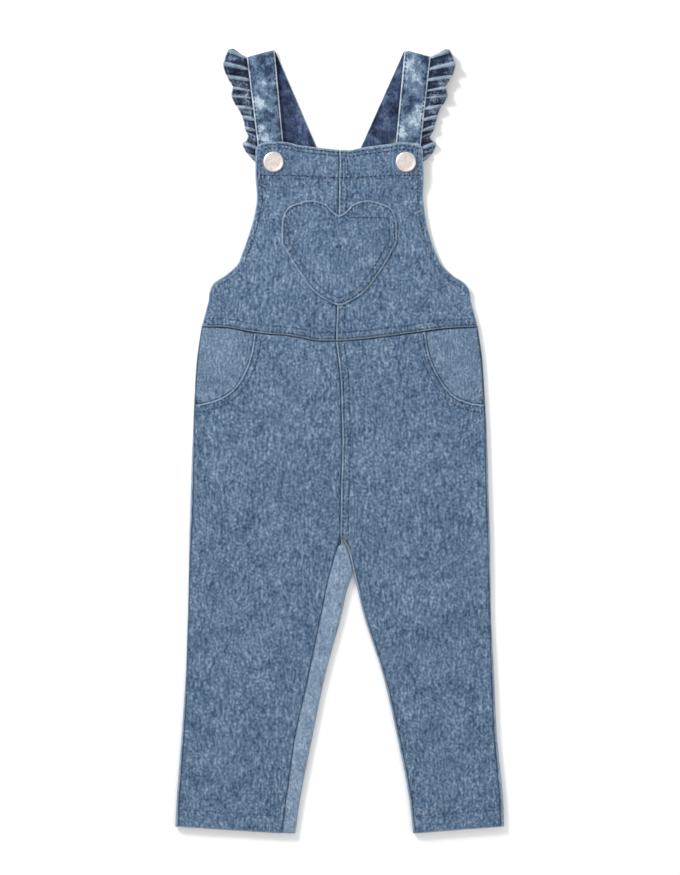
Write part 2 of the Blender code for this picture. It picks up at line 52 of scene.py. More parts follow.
# a row for each level: y, outline, side seam, inseam, inner outline
legLevels = {
    "left": (
        (98, -117.4, -116.4, 0.0, 0.0), (70, -121.4, -120.3, 0.0, 0.0), (40, -123.4, -122.3, 0.0, 0.0),
        (10, -124.6, -123.4, 0.0, 0.0), (-20, -125.8, -124.0, 0.0, 0.0), (-50, -126.8, -124.6, 0.0, 0.0),
        (-83, -127.8, -126.0, 0.3, 2.0), (-92, -127.9, -126.6, -2.6, 6.3), (-111, -128.3, -127.2, -8.0, 10.9),
        (-128, -128.7, -127.6, -12.0, 5.9), (-153, -129.3, -128.2, -17.0, 0.3),
        (-200, -131.0, -129.7, -26.6, -12.4), (-250, -134.4, -132.2, -37.6, -22.8),
        (-300, -138.3, -136.0, -44.8, -32.8), (-334, -140.1, -136.9, -49.4, -37.7)),
    "right": (
        (98, 117.4, 116.4, 0.0, 0.0), (70, 121.3, 120.2, 0.0, 0.0), (40, 123.4, 122.3, 0.0, 0.0),
        (10, 125.0, 123.8, 0.0, 0.0), (-20, 126.0, 124.2, 0.0, 0.0), (-50, 126.8, 125.0, 0.0, 0.0),
        (-83, 127.9, 126.1, 4.4, 2.6), (-92, 128.0, 126.3, 9.0, 7.2), (-111, 128.2, 126.7, 13.6, 11.7),
        (-128, 128.4, 127.2, 17.6, 15.6), (-153, 128.9, 127.7, 23.8, 21.8), (-200, 131.3, 129.3, 38.9, 37.0),
        (-250, 133.7, 131.3, 50.5, 48.6), (-300, 138.7, 135.8, 60.3, 58.4), (-334, 140.1, 137.4, 64.4, 62.5)),
}
pocketEdge = {
    "left": ((-72.2, 92.6), (-74.6, 76.8), (-78.4, 63.8), (-85.0, 50.8), (-92.8, 41.7), (-101.5, 36.2),
             (-111.5, 32.8), (-122.5, 30.6)),
    "right": ((72.6, 93.0), (75.1, 76.8), (80.0, 62.8), (87.6, 49.0), (95.6, 39.6), (104.5, 34.4),
              (113.5, 31.8), (122.6, 30.6)),
}
bibSide = ((97.3, -117.4, 117.4), (108.5, -114.4, 114.4), (119.4, -111.5, 111.5), (129.2, -109.8, 109.8),
           (135.7, -105.5, 104.4), (140.6, -97.4, 96.4), (149.8, -87.1, 87.0), (159, -83.0, 82.2),
           (172, -78.4, 77.2), (189, -73.2, 73.2), (206, -70.4, 71.0), (224, -71.4, 71.3), (242, -71.4, 70.7),
           (247.4, -71.2, 70.5), (251.4, -69.6, 68.8))
heartHalf = ((0.0, 191.6), (4.0, 193.4), (7.6, 196.8), (10.8, 200.5), (15.2, 202.6), (21.0, 204.1),
             (27.6, 204.1), (34.6, 202.0), (40.8, 199.8), (44.6, 196.8), (47.3, 191.6), (48.7, 184.8),
             (49.0, 172.0), (48.4, 167.6), (45.4, 162.6), (41.0, 154.2), (36.2, 146.4), (30.4, 138.0),
             (24.6, 130.2), (18.2, 124.2), (11.0, 119.6), (4.4, 116.2), (0.0, 115.1))
crotchY, armholeY, hemInnerY, hemOuterY = -83.0, 129.2, -333.4, -327.8


# small helpers
def ease(t):
    t = np.clip(t, 0.0, 1.0)
    return t * t * (3 - 2 * t)


def mix(a, b, t):
    return a + (b - a) * t


def smoothCurve(points, step=2.0):
    # a smooth line through the given points, with a point about every step
    pts = [np.array(p, float) for p in points]
    pts = [2 * pts[0] - pts[1]] + pts + [2 * pts[-1] - pts[-2]]
    out = []
    for a, b, c, d in zip(pts, pts[1:], pts[2:], pts[3:]):
        n = max(2, int(np.linalg.norm(c - b) / step))
        for i in range(n):
            t = i / n
            bend = (2 * a - 5 * b + 4 * c - d) * t * t
            twist = (3 * b - a - 3 * c + d) * t ** 3
            out.append(0.5 * (2 * b + (c - a) * t + bend + twist))
    out.append(pts[-2])
    return np.array(out)


def atLevel(rows, y, column):
    rows = sorted(rows)
    return np.interp(y, [r[0] for r in rows], [r[column] for r in rows])


def alongX(curve, x):
    pts = sorted(map(tuple, curve))
    return np.interp(x, [p[0] for p in pts], [p[1] for p in pts])


def resample(curve, count):
    # points evenly spread by length
    length = np.concatenate([[0], np.cumsum(np.linalg.norm(np.diff(curve, axis=0), axis=1))])
    at = np.linspace(0, length[-1], count)
    return np.stack([np.interp(at, length, curve[:, k]) for k in range(curve.shape[1])], 1)


def distanceTo(points, curve):
    # distance in plan from every point to a line
    best = np.full(points.shape[:-1], 1e9)
    for a, b in zip(curve, curve[1:]):
        d = b - a
        t = np.clip(((points - a) @ d) / max(d @ d, 1e-9), 0, 1)
        best = np.minimum(best, np.linalg.norm(points - (a + t[..., None] * d), axis=-1))
    return best


def offsetCurve(curve, distance):
    # the line moved sideways, positive to its left
    d = np.gradient(curve, axis=0)
    n = np.stack([-d[:, 1], d[:, 0]], 1)
    n /= np.linalg.norm(n, axis=1)[:, None] + 1e-9
    return curve + n * distance


def noiseAt(x, y, size, seed=0.0):
    flat = [noise.noise(Vector((a / size, b / size, seed))) for a, b in zip(np.ravel(x), np.ravel(y))]
    return np.array(flat).reshape(np.shape(x))


def spread(near, middle):
    # column places from 0 to 1: close together by both edges, wide between them
    near = np.array(near)

    def places(width):
        between = np.linspace(near[-1] / width, 1 - near[-1] / width, middle)[1:-1]
        return np.concatenate([near / width, between, 1 - near[::-1] / width])

    return places


nearColumns = (0.0, 0.35, 0.8, 1.3, 1.8, 2.3, 2.9, 3.6, 4.4, 5.2, 5.9, 6.4, 6.9, 7.6, 8.6, 10.0)
columnPlaces = spread(nearColumns, 26)

# creases, listed one by one: x, y, heading in degrees, half length, half width, height in mm
creases = (
    (-62, 62, 70, 26, 5, 0.5), (-40, 30, 58, 34, 6, -0.6), (-28, -30, 62, 30, 5, 0.6),
    (-60, -18, 80, 40, 7, 0.5), (-16, -66, 40, 22, 4, 0.9), (-30, -74, 24, 26, 4, -0.8),
    (-44, -92, 12, 30, 5, 0.7), (-8, -98, 84, 20, 3, -0.9), (-92, -60, 84, 44, 8, 0.5),
    (-100, -120, 95, 40, 6, -0.5), (-70, -150, 20, 26, 5, 0.5), (-62, -176, -12, 30, 6, -0.6),
    (-96, -196, 8, 24, 5, 0.5), (-58, -226, 14, 26, 5, 0.5), (-90, -262, -10, 28, 6, -0.5),
    (-104, -300, 84, 24, 5, 0.4), (60, 60, 108, 26, 5, 0.5), (38, 24, 122, 34, 6, -0.6),
    (30, -34, 118, 30, 5, 0.6), (66, -20, 98, 40, 7, 0.5), (16, -64, 140, 22, 4, 0.9),
    (32, -80, 156, 26, 4, -0.8), (50, -96, 166, 28, 5, 0.7), (96, -56, 96, 40, 8, 0.5),
    (104, -124, 86, 40, 6, -0.5), (74, -152, 158, 26, 5, 0.5), (70, -182, 10, 28, 6, -0.6),
    (100, -206, 172, 24, 5, 0.5), (84, -240, 166, 26, 5, 0.5), (104, -276, 12, 26, 6, -0.5),
    (74, -304, 100, 18, 4, 0.6), (118, -250, 94, 30, 5, 0.4), (-60, 120, 160, 22, 6, 0.5),
    (60, 124, 20, 22, 6, 0.5), (-92, 116, 140, 18, 5, -0.5), (92, 118, 40, 18, 5, -0.5),
    (-62, 206, 82, 16, 4, -0.4), (60, 204, 98, 16, 4, -0.4), (-26, 232, 8, 22, 5, 0.4),
    (28, 234, -6, 22, 5, 0.4), (-66, 170, 100, 18, 4, 0.4), (66, 168, 80, 18, 4, 0.4),
)


def creaseHeight(x, y):
    z = np.zeros(np.shape(x))
    for cx, cy, heading, length, width, height in creases:
        c, s = math.cos(math.radians(heading)), math.sin(math.radians(heading))
        u, v = (x - cx) * c + (y - cy) * s, -(x - cx) * s + (y - cy) * c
        bend = v - 0.12 * u * u / length
        z += 1.5 * height * np.exp(-(bend / width) ** 2 - (u / length) ** 2)
    return z + 0.22 * noiseAt(x, y, 34.0, 3.1) + 0.12 * noiseAt(x, y, 13.0, 7.7)


def seamRelief(d, x, y, rows=(2.0, 6.4), height=0.32, pucker=0.3):
    # across a topstitched seam: a rolled edge, a groove at each stitch row, a soft ridge between them
    z = -0.45 * np.exp(-(d / 0.45) ** 2)
    for row in rows:
        z = z - height * np.exp(-((d - row) / 0.55) ** 2)
    last = rows[-1]
    z = z + 0.28 * (1 - ease((d - last) / 2.5))
    wave = noiseAt(x, y, 4.2, 11.3) + 0.6 * noiseAt(x, y, 2.4, 5.3)
    return z + pucker * wave * (1 - ease((d - last * 0.4) / (last + 4)))


def addMesh(name, verts, faces, material, edge=None, paintedShade=None):
    mesh = bpy.data.meshes.new(name)
    mesh.from_pydata([tuple(v) for v in np.asarray(verts) * mm], [], faces)
    mesh.materials.append(material)
    # the seam map holds the distance to a pale edge in u and the distance to painted shade in v
    uv = mesh.uv_layers.new(name="seamMap")
    if edge is not None:
        index = np.zeros(len(mesh.loops), int)
        mesh.loops.foreach_get("vertex_index", index)
        data = np.stack([np.ravel(edge)[index], np.ravel(paintedShade)[index]], 1) * mm * 10
        uv.data.foreach_set("uv", data.ravel())
    mesh.shade_smooth()
    obj = bpy.data.objects.new(name, mesh)
    bpy.context.scene.collection.objects.link(obj)
    return obj


def clothSheet(name, grid, material, thickness, edge, paintedShade, flip=False):
    # grid is rows x columns x 3; its upper face stays where it is and the wall goes below
    rows, columns = grid.shape[:2]
    index = np.arange(rows * columns).reshape(rows, columns)
    quads = np.stack([index[:-1, :-1], index[:-1, 1:], index[1:, 1:], index[1:, :-1]], -1).reshape(-1, 4)
    if flip:
        quads = quads[:, ::-1]
    obj = addMesh(name, grid.reshape(-1, 3), quads.tolist(), material, edge, paintedShade)
    wall = obj.modifiers.new("wall", "SOLIDIFY")
    wall.thickness = thickness * mm
    wall.offset = -1.0
    bpy.ops.object.select_all(action="DESELECT")
    bpy.context.view_layer.objects.active = obj
    obj.select_set(True)
    bpy.ops.object.modifier_apply(modifier=wall.name)
    return obj


def finishPiece(obj, node):
    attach(obj, "root")
    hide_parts(*([node] if isinstance(node, str) else node))
    return obj


# materials
def group(name, inputs, outputs):
    tree = bpy.data.node_groups.new(name, "ShaderNodeTree")
    for label, kind, value in inputs:
        socket = tree.interface.new_socket(label, in_out="INPUT", socket_type=kind)
        socket.default_value = value
    for label, kind in outputs:
        tree.interface.new_socket(label, in_out="OUTPUT", socket_type=kind)
    return tree, tree.nodes.new("NodeGroupInput"), tree.nodes.new("NodeGroupOutput")


def node(tree, kind, values=None, **settings):
    made = tree.nodes.new(kind)
    for key, value in settings.items():
        setattr(made, key, value)
    for key, value in (values or {}).items():
        made.inputs[key].default_value = value
    return made


def maths(tree, operation, a, b=None, clamp=False):
    made = node(tree, "ShaderNodeMath", operation=operation, use_clamp=clamp)
    for slot, value in enumerate((a, b)):
        if value is None:
            continue
        if isinstance(value, (int, float)):
            made.inputs[slot].default_value = value
        else:
            tree.links.new(value, made.inputs[slot])
    return made.outputs[0]


def ramp(tree, value, low, high, outLow=0.0, outHigh=1.0):
    spans = {"From Min": low, "From Max": high, "To Min": outLow, "To Max": outHigh}
    made = node(tree, "ShaderNodeMapRange", spans, interpolation_type="SMOOTHSTEP")
    tree.links.new(value, made.inputs["Value"])
    return made.outputs["Result"]


def noiseNode(tree, vector, size, detail=2.0, rough=0.5, stretch=None):
    # size is the pattern's size in millimetres
    if stretch:
        mapping = node(tree, "ShaderNodeMapping", {"Scale": stretch[:3], "Rotation": (0, 0, stretch[3])})
        tree.links.new(vector, mapping.inputs["Vector"])
        vector = mapping.outputs[0]
    made = node(tree, "ShaderNodeTexNoise", {"Scale": 1000.0 / size, "Detail": detail, "Roughness": rough})
    tree.links.new(vector, made.inputs["Vector"])
    return made.outputs["Fac"]


def mixColour(tree, fac, a, b, blend="MIX"):
    made = node(tree, "ShaderNodeMix", data_type="RGBA", blend_type=blend)
    for socket, value in ((made.inputs[0], fac), (made.inputs[6], a), (made.inputs[7], b)):
        if isinstance(value, (int, float)):
            socket.default_value = value
        elif isinstance(value, tuple):
            socket.default_value = value
        else:
            tree.links.new(value, socket)
    return made.outputs[2]


def denimGroup():
    # washed twill: pale and dark yarns, cloudy wash, pale folded edges (partly worn, partly painted
    # highlight), painted shade beside seams
    tree, given, out = group(
        "washedTwill",
        (("Dark", "NodeSocketColor", (0.04, 0.07, 0.13, 1)), ("Mid", "NodeSocketColor", (0.12, 0.2, 0.3, 1)),
         ("Pale", "NodeSocketColor", (0.4, 0.5, 0.6, 1)), ("Grain", "NodeSocketFloat", 1.0),
         ("Clouds", "NodeSocketFloat", 0.3), ("Edge Wear And Highlight", "NodeSocketFloat", 0.6)),
        (("Color", "NodeSocketColor"), ("Roughness", "NodeSocketFloat"), ("Height", "NodeSocketFloat")))
    place = tree.nodes.new("ShaderNodeTexCoord").outputs["Object"]
    uv = node(tree, "ShaderNodeUVMap", uv_map="seamMap").outputs[0]
    split = tree.nodes.new("ShaderNodeSeparateXYZ")
    tree.links.new(uv, split.inputs[0])
    lines = {"Scale": 330.0, "Distortion": 1.6, "Detail": 2.0, "Detail Scale": 1.2}
    twill = node(tree, "ShaderNodeTexWave", lines, wave_type="BANDS", bands_direction="DIAGONAL")
    tree.links.new(place, twill.inputs["Vector"])
    fine = noiseNode(tree, place, 1.5, 3.0, 0.75, (1.0, 1.0, 1.0, 0.6))
    slub = noiseNode(tree, place, 2.2, 3.0, 0.7, (1.6, 0.28, 1.0, 0.0))
    cloud = noiseNode(tree, place, 22.0, 4.0, 0.62)
    patch = noiseNode(tree, place, 7.0, 3.0, 0.6)
    slubs = maths(tree, "MULTIPLY", ramp(tree, slub, 0.3, 0.7, -1, 1), 0.6)
    yarn = maths(tree, "ADD", ramp(tree, fine, 0.32, 0.68, -1, 1), slubs)
    weave = maths(tree, "MULTIPLY", ramp(tree, twill.outputs["Fac"], 0.1, 0.9, -1, 1), 0.25)
    yarn = maths(tree, "ADD", yarn, weave)
    yarn = maths(tree, "MULTIPLY", yarn, given.outputs["Grain"])
    patches = maths(tree, "MULTIPLY", ramp(tree, patch, 0.3, 0.7, -1, 1), 0.7)
    wash = maths(tree, "ADD", ramp(tree, cloud, 0.3, 0.7, -1, 1), patches)
    wash = maths(tree, "MULTIPLY", wash, given.outputs["Clouds"])
    # pale line on a folded edge, broken up by the grain: partly real worn fading, partly a painted highlight
    # on the rounded edge
    edge = ramp(tree, split.outputs[0], 0.003, 0.014, 1.0, 0.0)
    broken = ramp(tree, patch, 0.25, 0.6, 0.45, 1.0)
    edge = maths(tree, "MULTIPLY", maths(tree, "MULTIPLY", edge, broken), given.outputs["Edge Wear And Highlight"])
    # painted shade: a dark line beside seams and beside edges lapping over this piece, where the upper piece
    # shades it
    paintedShade = ramp(tree, split.outputs[1], 0.0, 0.016, 1.0, 0.0)
    tone = maths(tree, "ADD", maths(tree, "MULTIPLY", yarn, 0.24), maths(tree, "MULTIPLY", wash, 0.5))
    tone = maths(tree, "ADD", tone, 0.5)
    tone = maths(tree, "SUBTRACT", tone, maths(tree, "MULTIPLY", paintedShade, 0.55), clamp=True)
    low = mixColour(tree, ramp(tree, tone, 0.0, 0.5), given.outputs["Dark"], given.outputs["Mid"])
    high = mixColour(tree, ramp(tree, tone, 0.5, 1.15), low, given.outputs["Pale"])
    colour = mixColour(tree, edge, high, given.outputs["Pale"])
    tree.links.new(colour, out.inputs["Color"])
    tree.links.new(ramp(tree, yarn, -1.5, 1.5, 0.95, 0.8), out.inputs["Roughness"])
    tree.links.new(yarn, out.inputs["Height"])
    return tree


washedTwill = denimGroup()


def denim(name, dark, mid, pale, grain=1.0, clouds=0.3, edgeWearAndHighlight=0.6, sheen=0.12):
    material = bpy.data.materials.new(name)
    material.use_nodes = True
    tree = material.node_tree
    shader = tree.nodes["Principled BSDF"]
    cloth = tree.nodes.new("ShaderNodeGroup")
    cloth.node_tree = washedTwill
    settings = {"Dark": dark, "Mid": mid, "Pale": pale, "Grain": grain, "Clouds": clouds, "Edge Wear And Highlight": edgeWearAndHighlight}
    for label, value in settings.items():
        cloth.inputs[label].default_value = value
    bump = node(tree, "ShaderNodeBump", {"Strength": 0.5, "Distance": 0.0003})
    tree.links.new(cloth.outputs["Height"], bump.inputs["Height"])
    tree.links.new(cloth.outputs["Color"], shader.inputs["Base Color"])
    tree.links.new(cloth.outputs["Roughness"], shader.inputs["Roughness"])
    tree.links.new(bump.outputs[0], shader.inputs["Normal"])
    shader.inputs["Sheen Weight"].default_value = sheen
    shader.inputs["Sheen Roughness"].default_value = 0.5
    shader.inputs["Specular IOR Level"].default_value = 0.2
    return material


def colour(r, g, b):
    # sRGB numbers out of 255 to the shader's linear ones
    return tuple(((c / 255 + 0.055) / 1.055) ** 2.4 for c in (r, g, b)) + (1.0,)


denimFront = denim("denimFront", colour(34, 53, 80), colour(82, 107, 135), colour(162, 180, 197), 1.45, 0.14)
# the back panel's denim is the front denim made lighter: painted light on the band rolled round the outline
denimBackLit = denim("denimBackLit", colour(64, 86, 112), colour(120, 142, 166), colour(186, 200, 212), 1.2, 0.14)
denimFacing = denim("denimFacing", colour(52, 72, 98), colour(96, 119, 144), colour(172, 188, 202), 1.3, 0.14)
strapDenim = denim("strapDenim", colour(34, 50, 78), colour(88, 110, 134), colour(184, 200, 212),
                   0.85, 0.75, 0.9)
# the strap's back ply is the strap denim darkened as painted shade, since it lies behind the fold
strapLiningShaded = denim("strapLiningShaded", colour(12, 18, 40), colour(44, 58, 88), colour(92, 110, 138),
                     0.9, 0.7, 0.25)
# the frill's denim darkened as painted shade; its pale colour draws the hem and the gather crests
frillDenimShaded = denim("frillDenimShaded", colour(12, 18, 38), colour(42, 56, 84), colour(150, 168, 186), 0.9, 0.6, 0.8)


def plainThread(name, tone):
    material = bpy.data.materials.new(name)
    material.use_nodes = True
    tree = material.node_tree
    shader = tree.nodes["Principled BSDF"]
    place = tree.nodes.new("ShaderNodeTexCoord").outputs["Object"]
    ply = noiseNode(tree, place, 0.8, 2.0, 0.6)
    dark = tuple(c * 0.55 for c in tone[:3]) + (1.0,)
    tree.links.new(mixColour(tree, ramp(tree, ply, 0.3, 0.7), dark, tone), shader.inputs["Base Color"])
    shader.inputs["Roughness"].default_value = 0.7
    return material


navyThread = plainThread("navyThread", colour(24, 32, 58))
print("materials made")


# heights
def bibHeight(x, y):
    inset = np.where(x < 0, -atLevel(bibSide, y, 1), atLevel(bibSide, y, 2)) - np.abs(x)
    droop = 1.4 * (1 - ease(inset / 14)) * ease((y - armholeY) / 12)
    beyond = np.hypot(np.maximum(46 - np.abs(x), 0), np.maximum(226 - y, 0))
    lift = 1 - ease(beyond / 16)
    return mix(loft - droop, 7.0, lift)


def crownDrop(depth):
    # how far the upper face has come down at a distance in from the outline
    radius = loft / 2
    lean = np.clip((radius - depth) / radius, 0, 0.98)
    return radius * (1 - np.sqrt(1 - lean * lean))


waistLine = smoothCurve(waistSeam)
topLine = smoothCurve(bibTop)
centreLine = smoothCurve(centreSeam)
seamLines = {}
for side, sign in (("left", -1), ("right", 1)):
    rows = legLevels[side]
    seamLines[side, "side"] = smoothCurve([(r[2], r[0]) for r in rows])
    seamLines[side, "inseam"] = smoothCurve([(r[3], r[0]) for r in rows if r[0] <= crotchY])
    seamLines[side, "pocket"] = smoothCurve(pocketEdge[side])
    seamLines[side, "bib"] = smoothCurve([(r[1 if sign < 0 else 2], r[0]) for r in bibSide])
    seamLines[side, "outline"] = smoothCurve([(r[1], r[0]) for r in rows])
    seamLines[side, "inner"] = smoothCurve([(r[4], r[0]) for r in rows if r[0] <= crotchY])


def levelOf(curve, y):
    order = np.argsort(curve[:, 1])
    return np.interp(y, curve[order, 1], curve[order, 0])


def crossRows(outer, inner, places):
    widths = [max(np.linalg.norm(b - a), 24.0) for a, b in zip(outer, inner)]
    return np.array([[mix(a, b, t) for t in places(w)] for a, b, w in zip(outer, inner, widths)])


frontLegs = {"thickness": 1.1, "lap": 0.35, "hemRow": 14.6}


def frontLeg(side):
    sign = -1 if side == "left" else 1
    pocket = seamLines[side, "pocket"]
    pocket = pocket[pocket[:, 1] < alongX(waistLine, pocket[:, 0]) - 0.2]
    start = np.array([[pocket[0, 0], alongX(waistLine, pocket[0, 0]) - 0.2]])
    seamY = np.linspace(30.6, crotchY, 46)[1:]
    legY = np.linspace(crotchY, hemOuterY, 90)[1:]
    legY = np.concatenate([legY[legY > hemOuterY + 20], np.linspace(hemOuterY + 20, hemOuterY, 26)])
    outer = np.concatenate([resample(np.concatenate([start, pocket]), 40),
                            np.stack([levelOf(seamLines[side, "side"], seamY) - sign * 0.15, seamY], 1),
                            np.stack([levelOf(seamLines[side, "side"], legY) - sign * 0.15, legY], 1)])
    share = (legY - legY[0]) / (legY[-1] - legY[0])
    innerY = np.concatenate([np.linspace(85.1, 18, 40), np.linspace(18, crotchY + 1.5, 46)[1:],
                             crotchY - 1 + share * (hemInnerY - crotchY + 1)])
    inseam = seamLines[side, "inseam"]
    innerX = np.where(innerY > crotchY, levelOf(centreLine, innerY), levelOf(inseam, innerY)) + sign * 0.15
    inner = np.stack([innerX, innerY], 1)
    plan = crossRows(outer, inner, columnPlaces)
    # the top rows follow the waist seam
    fade = np.clip(1 - np.arange(len(plan)) / 14, 0, 1)[:, None]
    line = mix(alongX(waistLine, outer[:1, 0]), alongX(waistLine, inner[:1, 0]),
               (plan[:, :, 0] - outer[:, :1]) / (inner[:, :1] - outer[:, :1]))
    plan[:, :, 1] += fade * (alongX(waistLine, plan[:, :, 0]) - 0.2 - line)
    x, y = plan[..., 0], plan[..., 1]
    z = np.full(x.shape, loft)
    outlineDepth = np.abs(levelOf(seamLines[side, "outline"], y) - x)
    z -= crownDrop(outlineDepth)
    below = y < crotchY
    innerDepth = np.where(below, np.abs(levelOf(seamLines[side, "inner"], y) - x), 99.0)
    z -= crownDrop(innerDepth)
    z += creaseHeight(x, y) * ease((outlineDepth - 1) / 8) * ease((innerDepth - 1) / 8) * 0.9
    dPocket = distanceTo(plan, pocket)
    dCentre = np.where(y > crotchY - 4, distanceTo(plan, centreLine), 99)
    dInseam = distanceTo(plan, inseam)
    dSide = distanceTo(plan, seamLines[side, "side"][seamLines[side, "side"][:, 1] < 30])
    dWaist = distanceTo(plan, waistLine)
    hemY = mix(hemOuterY, hemInnerY, (x - outer[-1, 0]) / (inner[-1, 0] - outer[-1, 0]))
    dHem = y - hemY
    z += seamRelief(dPocket, x, y)
    if side == "right":
        z += seamRelief(dCentre, x, y, (2.2, 6.8)) + frontLegs["lap"] * (1 - ease(dCentre / 10))
    else:
        z -= 0.5 * (1 - ease(dCentre / 2.5))
        z += 0.25 * noiseAt(x, y, 5.0, 2.2) * (1 - ease(dCentre / 9))
    z += seamRelief(dHem, x, y, (frontLegs["hemRow"],), 0.4, 0.34)
    z -= 0.5 * (1 - ease(dInseam / 1.2)) + 0.35 * (1 - ease(dSide / 1.2))
    z += 0.22 * noiseAt(x, y, 4.6, 8.8) * (1 - ease((np.minimum(dInseam, dSide) - 1) / 7))
    z -= 0.8 * (1 - ease(dWaist / 2.2))
    z += 0.2 * noiseAt(x, y, 5.0, 1.4) * (1 - ease(dWaist / 9))
    tip = np.hypot(x - 0.6, y - crotchY)
    z -= 1.2 * (1 - ease(tip / 12))
    edge = np.minimum(dPocket, np.minimum(dHem, dCentre if side == "right" else 99))
    edge = np.minimum(edge, np.abs(dHem - frontLegs["hemRow"]) + 0.7)
    lapped = dCentre if side == "left" else 99
    # painted shade beside the waist seam, inseam and side seam, and on the left piece under the lapped centre
    # seam
    paintedShade = np.minimum(np.minimum(dWaist, dInseam + 0.4), np.minimum(dSide + 0.4, lapped))
    grid = np.dstack([x, y, z])
    thickness = frontLegs["thickness"]
    obj = clothSheet("frontLeg_" + side, grid, denimFront, thickness, edge, paintedShade, flip=side == "left")
    return finishPiece(obj, "front_leg_" + side)


def section(outline, seam, sign, wrapped, turns=9, straight=5):
    # from the seam on top, round the rolled edge, to the floor: x, z
    radius = loft / 2
    if not wrapped:
        return [(outline - sign * 6.0 * i / (straight + turns), 0.0) for i in range(straight + turns + 1)]
    depth = abs(outline - seam)
    centre = outline - sign * radius
    if depth > radius:
        run = [(mix(seam, centre, i / straight), loft) for i in range(straight)]
        begin, count = math.pi / 2, turns
    else:
        run, count = [], turns + straight
        begin = math.asin(math.sqrt(max(0.0, 1 - ((radius - depth) / radius) ** 2)))
    for i in range(count + 1):
        a = mix(begin, -math.pi / 2, i / count)
        run.append((centre + sign * radius * math.cos(a), radius + radius * math.sin(a)))
    return run


backLegs = {"thickness": 1.1}


def backLeg(side):
    sign = -1 if side == "left" else 1
    bodyOuter = np.linspace(97.3, crotchY, 60)
    bodyInner = np.linspace(85.2, crotchY + 3.0, 60)
    legOuter = np.linspace(crotchY - 1, hemOuterY, 100)
    legInner = np.linspace(crotchY - 2, hemInnerY, 100)
    grid = []
    levels = [(a, b, False) for a, b in zip(bodyOuter, bodyInner)]
    levels += [(a, b, True) for a, b in zip(legOuter, legInner)]
    for yo, yi, wrapped in levels:
        seamX = levelOf(seamLines[side, "side"], yo) + sign * 0.15
        outer = section(levelOf(seamLines[side, "outline"], yo), seamX, sign, True)
        if wrapped:
            edge = levelOf(seamLines[side, "inner"], yi)
            seam = levelOf(seamLines[side, "inseam"], yi) - sign * 0.15
            inner = section(edge, mix(edge, seam, ease((crotchY - yi) / 8)), -sign, True)
        else:
            inner = section(0.6 + sign * 0.15, 0, -sign, False)
        flat = [(mix(outer[-1][0], inner[-1][0], t), 0.0) for t in np.linspace(0, 1, 14)[1:-1]]
        xo, xi = outer[-1][0], inner[-1][0]
        run = outer + flat + inner[::-1]
        grid.append([(x, mix(yo, yi, min(max((x - xo) / (xi - xo), 0), 1)), z) for x, z in run])
    grid = np.array(grid)
    x, y, z = grid[..., 0], grid[..., 1], grid[..., 2]
    sideSeam = seamLines[side, "side"]
    spots = grid[..., :2]
    dSeam = np.minimum(distanceTo(spots, sideSeam), distanceTo(spots, seamLines[side, "inseam"]))
    dSeam = np.where(z > 2.6, dSeam, 99)
    up = ease((z - 3.0) / 2)
    z += up * (0.3 * noiseAt(x, y, 5.0, 4.4) - 0.35 * (1 - ease(dSeam / 1.0)))
    hemY = hemOuterY + (x - grid[-1, 0, 0]) / (grid[-1, -1, 0] - grid[-1, 0, 0]) * (hemInnerY - hemOuterY)
    dHem = np.clip(y - hemY, 0, 99)
    # a pale line near the top of the rolled edge is a painted highlight; the hem edge is pale as well
    edge = np.minimum(np.minimum(dHem + 0.4, np.where(z > 0.5, np.abs(4.4 - z) * 1.4 + 0.7, 99)), 99)
    thickness = backLegs["thickness"]
    # dSeam also gives painted shade on the rolled back panel next to the side seam and inseam
    obj = clothSheet("backLeg_" + side, grid, denimBackLit, thickness, edge, dSeam, flip=side == "right")
    return finishPiece(obj, "back_leg_" + side)


facings = {"thickness": 1.0, "level": 3.6}


def hipFacing(side):
    sign = -1 if side == "left" else 1
    pocket = resample(seamLines[side, "pocket"], 40)
    grid = []
    for i, (px, py) in enumerate(pocket):
        t = i / 39
        yo = mix(96.8, 31.0, t)
        xo = levelOf(seamLines[side, "side"], yo) - sign * (0.25 + 2.6 * ease((t - 0.9) / 0.1))
        xi, yi = px - sign * 8.0 * (1 - 0.6 * t * t), py - 8.0 * t
        row = [(mix(xo, xi, u), mix(yo, yi, u ** (1 + 0.6 * t))) for u in np.linspace(0, 1, 30)]
        grid.append(row)
    grid = np.array(grid)
    x, y = grid[..., 0], grid[..., 1]
    fade = np.clip(1 - np.arange(40) / 5, 0, 1)[:, None]
    y += fade * (np.minimum(alongX(waistLine, x) - 0.3, 97) - y)
    dPocket = distanceTo(grid, seamLines[side, "pocket"])
    inside = (np.abs(x) > np.abs(levelOf(seamLines[side, "pocket"], np.clip(y, 31, 92)))) * 1.0
    depth = np.abs(levelOf(seamLines[side, "outline"], y) - x)
    z = facings["level"] - 0.1 + 1.1 * ease((dPocket - 2) / 14) * inside
    z = np.minimum(z, loft + 0.1 - crownDrop(depth))
    z += 0.35 * noiseAt(x, y, 16.0, 6.1) * ease(dPocket / 8) * ease(depth / 8) * inside
    z -= 0.7 * (1 - ease(distanceTo(grid, waistLine) / 2.0)) * inside
    dSide = distanceTo(grid, seamLines[side, "side"]) + 0.6
    # painted shade on the facing under the pocket edge, by the waist and by the side seam
    paintedShade = np.minimum(dPocket * 0.8, np.minimum(distanceTo(grid, waistLine), dSide))
    noEdge = np.full(x.shape, 99.0)
    thickness = facings["thickness"]
    raised = np.dstack([x, y, z])
    obj = clothSheet("hipFacing_" + side, raised, denimFacing, thickness, noEdge, paintedShade, flip=side == "left")
    return finishPiece(obj, "hip_facing_" + side)


bibs = {"thickness": 1.1, "lap": 0.4}


